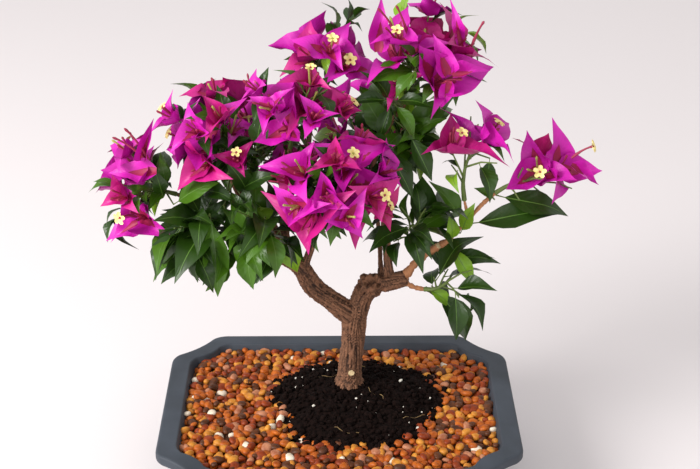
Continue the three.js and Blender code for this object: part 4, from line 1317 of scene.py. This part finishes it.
def bark_relief(places, depth):
    """How far the bark stands out at each place, in millimetres, and 0 to 1 from crack to ridge."""
    starts, steps, radii, lengths, offsets = limb_frame()
    squares = (steps**2).sum(1)
    out, ridges = np.zeros(len(places)), np.zeros(len(places))
    slant = Vector((1, 1, 1))
    for i, p in enumerate(places):
        t = np.clip(((p - starts) * steps).sum(1) / squares, 0, 1)
        away = p - starts - steps * t[:, None]
        far = np.sqrt((away**2).sum(1))
        k = int(np.argmin(far / radii))
        along = lengths[k] + t[k] * math.sqrt(squares[k])
        radius = radii[k]
        way = away[k] / max(far[k], 1e-6)

        def pattern(across, lengthwise, other=0):
            """Noise that runs along the limb, finer across it than along it."""
            drift = along * lengthwise + offsets[k] + other
            return noise.noise(Vector(way * radius * across) + slant * drift)

        cracks = abs(pattern(0.42, 0.035)) * 2
        fine = abs(pattern(0.95, 0.1, 90)) * 2
        flakes = pattern(0.8, 0.3, 50)
        share = min(radius / 9, 1)
        ridge = min(cracks / 0.42, 1) * (0.55 + 0.45 * min(fine / 0.35, 1))
        to_callus = distance(p, CALLUS["at"]) + noise.noise(Vector(p) / 3.1) * CALLUS["ragged"]
        gnarl = math.exp(-((to_callus / CALLUS["spread"]) ** 4))
        lip = math.exp(-(((to_callus - CALLUS["ring"]) / CALLUS["lip"]) ** 2))
        lumps = noise.noise(Vector(p) / 3.6) * CALLUS["lumps"] + lip * CALLUS["rise"]
        out[i] = depth * share * (ridge - 0.7 + 0.35 * flakes) * (1 - 0.5 * gnarl) + gnarl * lumps
        # The colour follows the relief: painted shade down in the cracks, paler on the callus's raised lip.
        ridges[i] = min(max(ridge + 0.3 * flakes, 0) + 0.5 * lip * gnarl, 1)
    return out, ridges


def darken_cracks(bark, crack):
    """The bark's colour falls to the crack colour, darker bark with painted shade, where the ridge attribute
    is low.
    """
    tree = bark.node_tree
    shader, mottle = tree.nodes["Principled BSDF"], tree.nodes["Group"]
    ridge = node(tree, "ShaderNodeAttribute", -500, 400, attribute_name="ridge")
    mix = node(tree, "ShaderNodeMix", -200, 300, data_type="RGBA")
    fill_in(mix, A=(*crack, 1))
    wire(
        tree, (ridge, "Fac", mix, "Factor"), (mottle, "Colour", mix, "B"),
        (mix, "Result", shader, "Base Color"),
    )


class BONSAI_OT_bark(bpy.types.Operator):
    """Trunk and boughs in one cracked bark, and the young shoots with smoother bark"""

    bl_idname = "bonsai.bark"
    bl_label = "Trunk and boughs"

    def execute(self, context):
        look = context.scene.bonsai_bark
        bark = shaded(
            "cracked_bark", look.ridge, 0.5, 300, stretch=(1, 1, 0.3), contrast=2.2, roughness=0.9,
            bump=0.6, depth=0.0006,
        )
        # Painted shade: the cracks take a near-black colour where the bark sinks in.
        darken_cracks(bark, look.crack)
        woody = [n for n in LIMBS if not n.startswith("shoot")]
        runs = []
        for name in woody:
            points = limb_chain(name, BARK_RINGS)
            slim = 0.65 if name == "bough_back_right" else 0.98
            radii = [limb_radius(name, i / BARK_RINGS) * slim for i in range(BARK_RINGS + 1)]
            if name == "trunk":
                points[0] = np.array([*points[0][:2], 76.5])
            runs.append((points, radii))
        wood = tubes("bark", runs, bark, sides=6)
        fused = wood.modifiers.new("fused", "REMESH")
        fused.mode, fused.voxel_size = "VOXEL", look.fineness
        depsgraph = context.evaluated_depsgraph_get()
        mesh = bpy.data.meshes.new_from_object(wood.evaluated_get(depsgraph))
        wood.modifiers.clear()
        wood.data = mesh
        bm = bmesh.new()
        bm.from_mesh(mesh)
        for _ in range(3):
            bmesh.ops.smooth_vert(
                bm, verts=bm.verts, factor=0.5, use_axis_x=True, use_axis_y=True, use_axis_z=True,
            )
        bm.normal_update()
        places = np.array([v.co for v in bm.verts]) / MM
        rises, ridges = bark_relief(places, look.relief / MM)
        for v, rise in zip(bm.verts, rises):
            v.co += v.normal * rise * MM
        bm.to_mesh(mesh)
        bm.free()
        ridge = mesh.attributes.new("ridge", "FLOAT", "POINT")
        ridge.data.foreach_set("value", ridges.astype(np.float32))
        mesh.shade_smooth()
        place(wood, "bark", *woody)

        young = shaded(
            "young_bark", look.young, 0.6, 320, stretch=(1, 1, 0.5), contrast=2.5, roughness=0.75, bump=0.5,
        )
        shoots = [n for n in LIMBS if n.startswith("shoot")]
        runs = []
        for name in shoots:
            points = limb_chain(name, SHOOT_RINGS)
            radii = []
            for i, point in enumerate(points):
                joint = math.exp(-(((i / SHOOT_RINGS * 4) % 1 - 0.5) / 0.12) ** 2)
                knobs = 1 + 0.16 * joint + 0.35 * noise.noise(Vector(point) / 2.2)
                radii.append(limb_radius(name, i / SHOOT_RINGS) * knobs)
            runs.append((points, radii))
        runs.append(([STUB["foot"], STUB["end"]], [STUB["radius"] * 1.05, STUB["radius"]]))
        place(tubes("young_shoots", runs, young, sides=4), "young_bark", *shoots)
        self.cut_faces(places, [v.normal.copy() for v in mesh.vertices], look)
        grey = finish_of("dead_wood", srgb(120, 100, 80), srgb(196, 172, 140), 300, roughness=0.85)
        runs = [(points, np.linspace(0.95, 0.4, len(points))) for points in DEAD_TWIG]
        place(tubes("dead_twig", runs, grey, sides=1), "bark")
        return {"FINISHED"}

    @staticmethod
    def cut_faces(places, normals, look):
        """Pale discs of cut wood, set square to the bark or to the stub's end."""
        stub_way = Vector(STUB["end"]) - Vector(STUB["foot"])
        faces = [(Vector(STUB["end"]), stub_way, STUB["radius"])]
        for *at, radius in CUTS:
            nearest = int(((places - np.array(at)) ** 2).sum(1).argmin())
            faces.append((Vector(places[nearest]), normals[nearest], radius))
        bm = bmesh.new()
        for at, way, radius in faces:
            turn = way.to_track_quat("Z", "Y").to_matrix().to_4x4()
            bmesh.ops.create_cone(
                bm, cap_ends=True, segments=16, radius1=radius * MM, radius2=radius * 0.8 * MM,
                depth=1.6 * MM, matrix=Matrix.Translation(at * MM) @ turn,
            )
        wood = shaded("cut_wood", look.cut, 0.7, 400, roughness=0.8)
        place(finish_bmesh(bm, "pruning_cuts", wood, smooth=False), "bark")


# ---------------------------------------------------------------- foliage
def leaf_tones():
    """Every leaf of the plant, dealt out by spray to dark, middle and young ones."""
    tones = {"dark": [], "middle": [], "young": []}
    for index, grown in enumerate(grown_plant().values()):
        for leaf in grown["leaves"]:
            draw = (leaf["spray"] * 7.31 + index * 0.37) % 1
            dealt = "dark" if draw < 0.5 else "middle" if draw < 0.86 else "young"
            tones[leaf.get("tone", dealt)].append(dict(leaf, phase=leaf["spray"] * 5 + leaf["length"]))
    return tones


def resampled(points, steps):
    """Evenly spaced points along straight steps."""
    return [on_chain(points, i / steps)[0] for i in range(steps + 1)]


class BONSAI_OT_twigs(bpy.types.Operator):
    """The stems and shoots that the limbs end in, and the stalks of leaves and bracts"""

    bl_idname = "bonsai.twigs"
    bl_label = "Twigs"

    def execute(self, context):
        look = context.scene.bonsai_foliage
        green = shaded("green_twigs", look.shoot, 0.7, 200)
        stems, stalks = [], []
        limbs = [point for name in LIMBS for point in limb_chain(name, PATTERN_RINGS)]
        for grown in grown_plant().values():
            limbs.extend(grown["stem"])
            stems.append((resampled(grown["stem"], 8), np.linspace(STEM_RADIUS, 0.8, 9)))
            for shoot in grown["shoots"]:
                stems.append((resampled(shoot["points"], 6), np.linspace(0.85, 0.5, 7)))
            for leaf in grown["leaves"]:
                foot, length = leaf["base"], leaf["length"]
                tip = foot + leaf["along"] * length * 0.16
                radii = np.array([0.5, 0.36, 0.3]) * (length / 40) ** 0.5
                stalks.append(([foot, (foot + tip) / 2, tip], radii))
        for foot, *_ in CLEAR_LEAVES:
            nearest = min(limbs, key=lambda point: distance(point, np.array(foot)))
            stems.append(([nearest, np.array(foot, float)], [0.8, 0.55]))
        place(tubes("twigs", stems, green, sides=2), "leaves", *MASSES)
        place(tubes("leaf_stalks", stalks, green, sides=1), "leaves")
        return {"FINISHED"}


class BONSAI_OT_leaves(bpy.types.Operator):
    """Glossy leaves, folded along a paler midrib, with their tips curled down"""

    bl_idname = "bonsai.leaves"
    bl_label = "Leaves"

    def execute(self, context):
        look = context.scene.bonsai_foliage
        blade, rib = blade_template(7, 4), blade_template(7, 1)
        ribs = []
        for tone, leaves in leaf_tones().items():
            skin_of_leaf = shaded(
                f"leaf_{tone}", getattr(look, tone), 0.62, 60, contrast=1.6, roughness=0.34, bump=0.35,
                depth=0.0006, veins=(7, 0.5, 0.8), Specular_IOR_Level=0.35,
            )
            piece = blade_meshes(f"leaves_{tone}", leaves, blade, skin_of_leaf, LEAF_FORM)
            place(piece, "leaves", *MASSES)
            ribs += leaves
        pale = shaded("leaf_rib", look.rib, 0.8, 200, roughness=0.45, bump=0.1)
        place(blade_meshes("leaf_ribs", ribs, rib, pale, LEAF_FORM, lift=0.12, narrow=0.05), "leaves")
        return {"FINISHED"}


# ---------------------------------------------------------------- blossom
class BONSAI_OT_blossom(bpy.types.Operator):
    """Papery bracts in threes, each head with thin tubes that end in buds or cream stars"""

    bl_idname = "bonsai.blossom"
    bl_label = "Blossom"

    def execute(self, context):
        look = context.scene.bonsai_blossom
        tones = {"bright": [], "deep": [], "young": []}
        runs, stars = {"old": [], "new": []}, []
        for index, grown in enumerate(grown_plant().values()):
            for k, head in enumerate(grown["heads"]):
                random = seeded(300 + index * 20 + k)
                draw = random()
                draw = 1 if "open" in head else draw
                # A share of heads, dealt at random, takes the deeper colour, which is partly painted shade.
                tone = "young" if draw < BLOSSOM["young"] else "deep" if draw < BLOSSOM["deep"] else "bright"
                for bract in head["bracts"]:
                    tones[tone].append(dict(bract, phase=random() * 6))
                    self.add_tube(head, bract, random, runs, stars)
        tones["bright"] += [clear_blade(*blade) for blade in CLEAR_BRACTS]
        for foot, mouth in CLEAR_TUBES:
            foot, mouth = np.array(foot, float), np.array(mouth, float)
            bow = UP * distance(foot, mouth) * 0.08
            points = [foot * (1 - t) + mouth * t + bow * 4 * t * (1 - t) for t in TUBE_STEPS]
            runs["old"].append((points, TUBE_RADII * 1.1))
        self.make_bracts(tones, look)
        red = shaded("flower_tube", look.tube, 0.7, 300, bump=0.2)
        new = shaded("flower_tube_new", look.tube_young, 0.8, 300, bump=0.2)
        place(tubes("flower_tubes", runs["old"], red, sides=2), "blossom")
        place(tubes("flower_tubes_new", runs["new"], new, sides=2), "blossom")
        every = runs["old"] + runs["new"]
        ends = np.array([points[-1] for points, _ in every])
        for flower in OPEN_FLOWERS:
            points = every[int(((ends - np.array(flower)) ** 2).sum(1).argmin())][0]
            stars.append((points[-1], unit(points[-1] - points[-3]), 5.2))
        self.make_stars(stars, look)
        return {"FINISHED"}

    @staticmethod
    def make_bracts(tones, look):
        """The bracts of each tone, and darker throats at their feet: the bracts' deeper base with painted
        shade in the cup.
        """
        blade = blade_template(10, 6)
        for tone, bracts in tones.items():
            paper = shaded(
                f"bract_{tone}", getattr(look, tone), 0.72, 90, contrast=1.8, roughness=0.5, bump=0.35,
                depth=0.0005, veins=(9, 0.7, 0.9),
            )
            place(blade_meshes(f"bracts_{tone}", bracts, blade, paper, BRACT_FORM), "blossom", *MASSES)
        every = [bract for bracts in tones.values() for bract in bracts]
        # Painted shade: a dark dart on the foot of every bract, where the cup is hollow.
        deep = shaded("bract_throat", look.throat, 0.7, 200, roughness=0.55, bump=0.2)
        dart = blade_template(5, 2)
        throats_and_shade = blade_meshes(
            "bract_throats", every, dart, deep, BRACT_FORM, lift=0.2, narrow=0.52, until=0.6,
        )
        place(throats_and_shade, "blossom")

    @staticmethod
    def add_tube(head, bract, random, runs, stars):
        """A flower's tube, which rises from its bract's foot."""
        length = (13 + 6 * random()) * head["size"] ** 0.5
        along = unit(head["way"] * 0.8 + bract["along"] * (0.35 + 0.35 * random()))
        drift = np.array([random(), random(), random()]) - 0.5
        points = [
            head["base"] + along * length * t + head["way"] * 2 * t + drift * length * 0.35 * t * t
            for t in (0.05, *TUBE_STEPS[1:])
        ]
        runs["new" if random() < BLOSSOM["fresh"] else "old"].append((points, TUBE_RADII))
        if random() < BLOSSOM["open"]:
            stars.append((points[-1], unit(points[-1] - points[-3]), 4.2 + random()))

    @staticmethod
    def make_stars(stars, look):
        """Five-lobed cream stars at the mouths of the open flowers."""
        bm = bmesh.new()
        bmesh.ops.create_cone(bm, cap_ends=False, segments=20, radius1=1, radius2=0.16, depth=0.6)
        for v in bm.verts:
            lobe = abs(math.cos(2.5 * math.atan2(v.co.y, v.co.x)))
            outer = v.co.z < 0
            v.co *= 0.6 + 0.42 * lobe**0.7 if outer else 1
            v.co.z = 0.12 - 0.16 * lobe if outer else -0.26
        corners, faces = template_of(bm)
        cream = finish_of("flower_star", srgb(236, 208, 112), look.star, 500, roughness=0.5, bump=0.2)
        copies = []
        for centre, way, size in stars:
            first = square_to(way, HEAD_TOP)
            axes = np.array([first, np.cross(way, first), way])
            copies.append(centre + corners @ axes * size)
        place(repeated("flower_stars", np.array(copies), faces, cream), "blossom")


# ---------------------------------------------------------------- stage
class BONSAI_OT_stage(bpy.types.Operator):
    """A plain pale floor, soft studio light and the camera"""

    bl_idname = "bonsai.stage"
    bl_label = "Stage"

    def execute(self, context):
        look = context.scene.bonsai_stage
        scene = context.scene
        bm = bmesh.new()
        bmesh.ops.create_grid(bm, x_segments=1, y_segments=1, size=6)
        plain = bpy.data.materials.new("plain_floor")
        plain.use_nodes = True
        fill_in(plain.node_tree.nodes["Principled BSDF"], Base_Color=(*look.floor, 1), Roughness=0.9)
        finish_bmesh(bm, "floor", plain, smooth=False)

        world = bpy.data.worlds.new("studio")
        world.use_nodes = True
        fill_in(world.node_tree.nodes["Background"], Color=(1, 0.985, 0.98, 1), Strength=look.fill)
        scene.world = world
        for name, (at, share, colour) in LAMPS.items():
            lamp = bpy.data.lights.new(name, "AREA")
            lamp.energy, lamp.size, lamp.color = look.key * share, 1.0, colour
            light = bpy.data.objects.new(name, lamp)
            light.location = at
            light.rotation_euler = (LAMPS_AIM - light.location).to_track_quat("-Z", "Y").to_euler()
            scene.collection.objects.link(light)
        scene.view_settings.view_transform = "Standard"

        eye = bpy.data.cameras.new("camera")
        eye.lens, eye.sensor_width = CAMERA["lens"], CAMERA["sensor"]
        camera = bpy.data.objects.new("camera", eye)
        scene.collection.objects.link(camera)
        camera.location = CAMERA["at"]
        camera.rotation_euler = (math.radians(90 - CAMERA["down"]), 0, math.radians(CAMERA["turn"]))
        scene.camera = camera
        return {"FINISHED"}


# ---------------------------------------------------------------- the add-on
OPERATORS = (
    BONSAI_OT_tray, BONSAI_OT_growing_mix, BONSAI_OT_gravel, BONSAI_OT_bark, BONSAI_OT_twigs,
    BONSAI_OT_leaves, BONSAI_OT_blossom, BONSAI_OT_stage,
)


class BONSAI_PT_panel(bpy.types.Panel):
    """The bonsai's pieces, in the order that they are made"""

    bl_idname = "BONSAI_PT_panel"
    bl_label = "Bonsai"
    bl_space_type = "VIEW_3D"
    bl_region_type = "UI"
    bl_category = "Bonsai"

    def draw(self, context):
        for operator in OPERATORS:
            self.layout.operator(operator.bl_idname)
        for name, settings in SETTINGS.items():
            box = self.layout.box()
            for prop in settings.__annotations__:
                box.prop(getattr(context.scene, name), prop)


CLASSES = (*SETTINGS.values(), *OPERATORS, BONSAI_PT_panel)


def register():
    for cls in CLASSES:
        bpy.utils.register_class(cls)
    for name, settings in SETTINGS.items():
        setattr(bpy.types.Scene, name, PointerProperty(type=settings))


def unregister():
    for name in SETTINGS:
        delattr(bpy.types.Scene, name)
    for cls in reversed(CLASSES):
        bpy.utils.unregister_class(cls)


def main():
    register()
    bpy.ops.bonsai.tray()
    bpy.ops.bonsai.growing_mix()
    bpy.ops.bonsai.gravel()
    bpy.ops.bonsai.bark()
    bpy.ops.bonsai.twigs()
    bpy.ops.bonsai.leaves()
    bpy.ops.bonsai.blossom()
    bpy.ops.bonsai.stage()


if __name__ == "__main__":
    main()
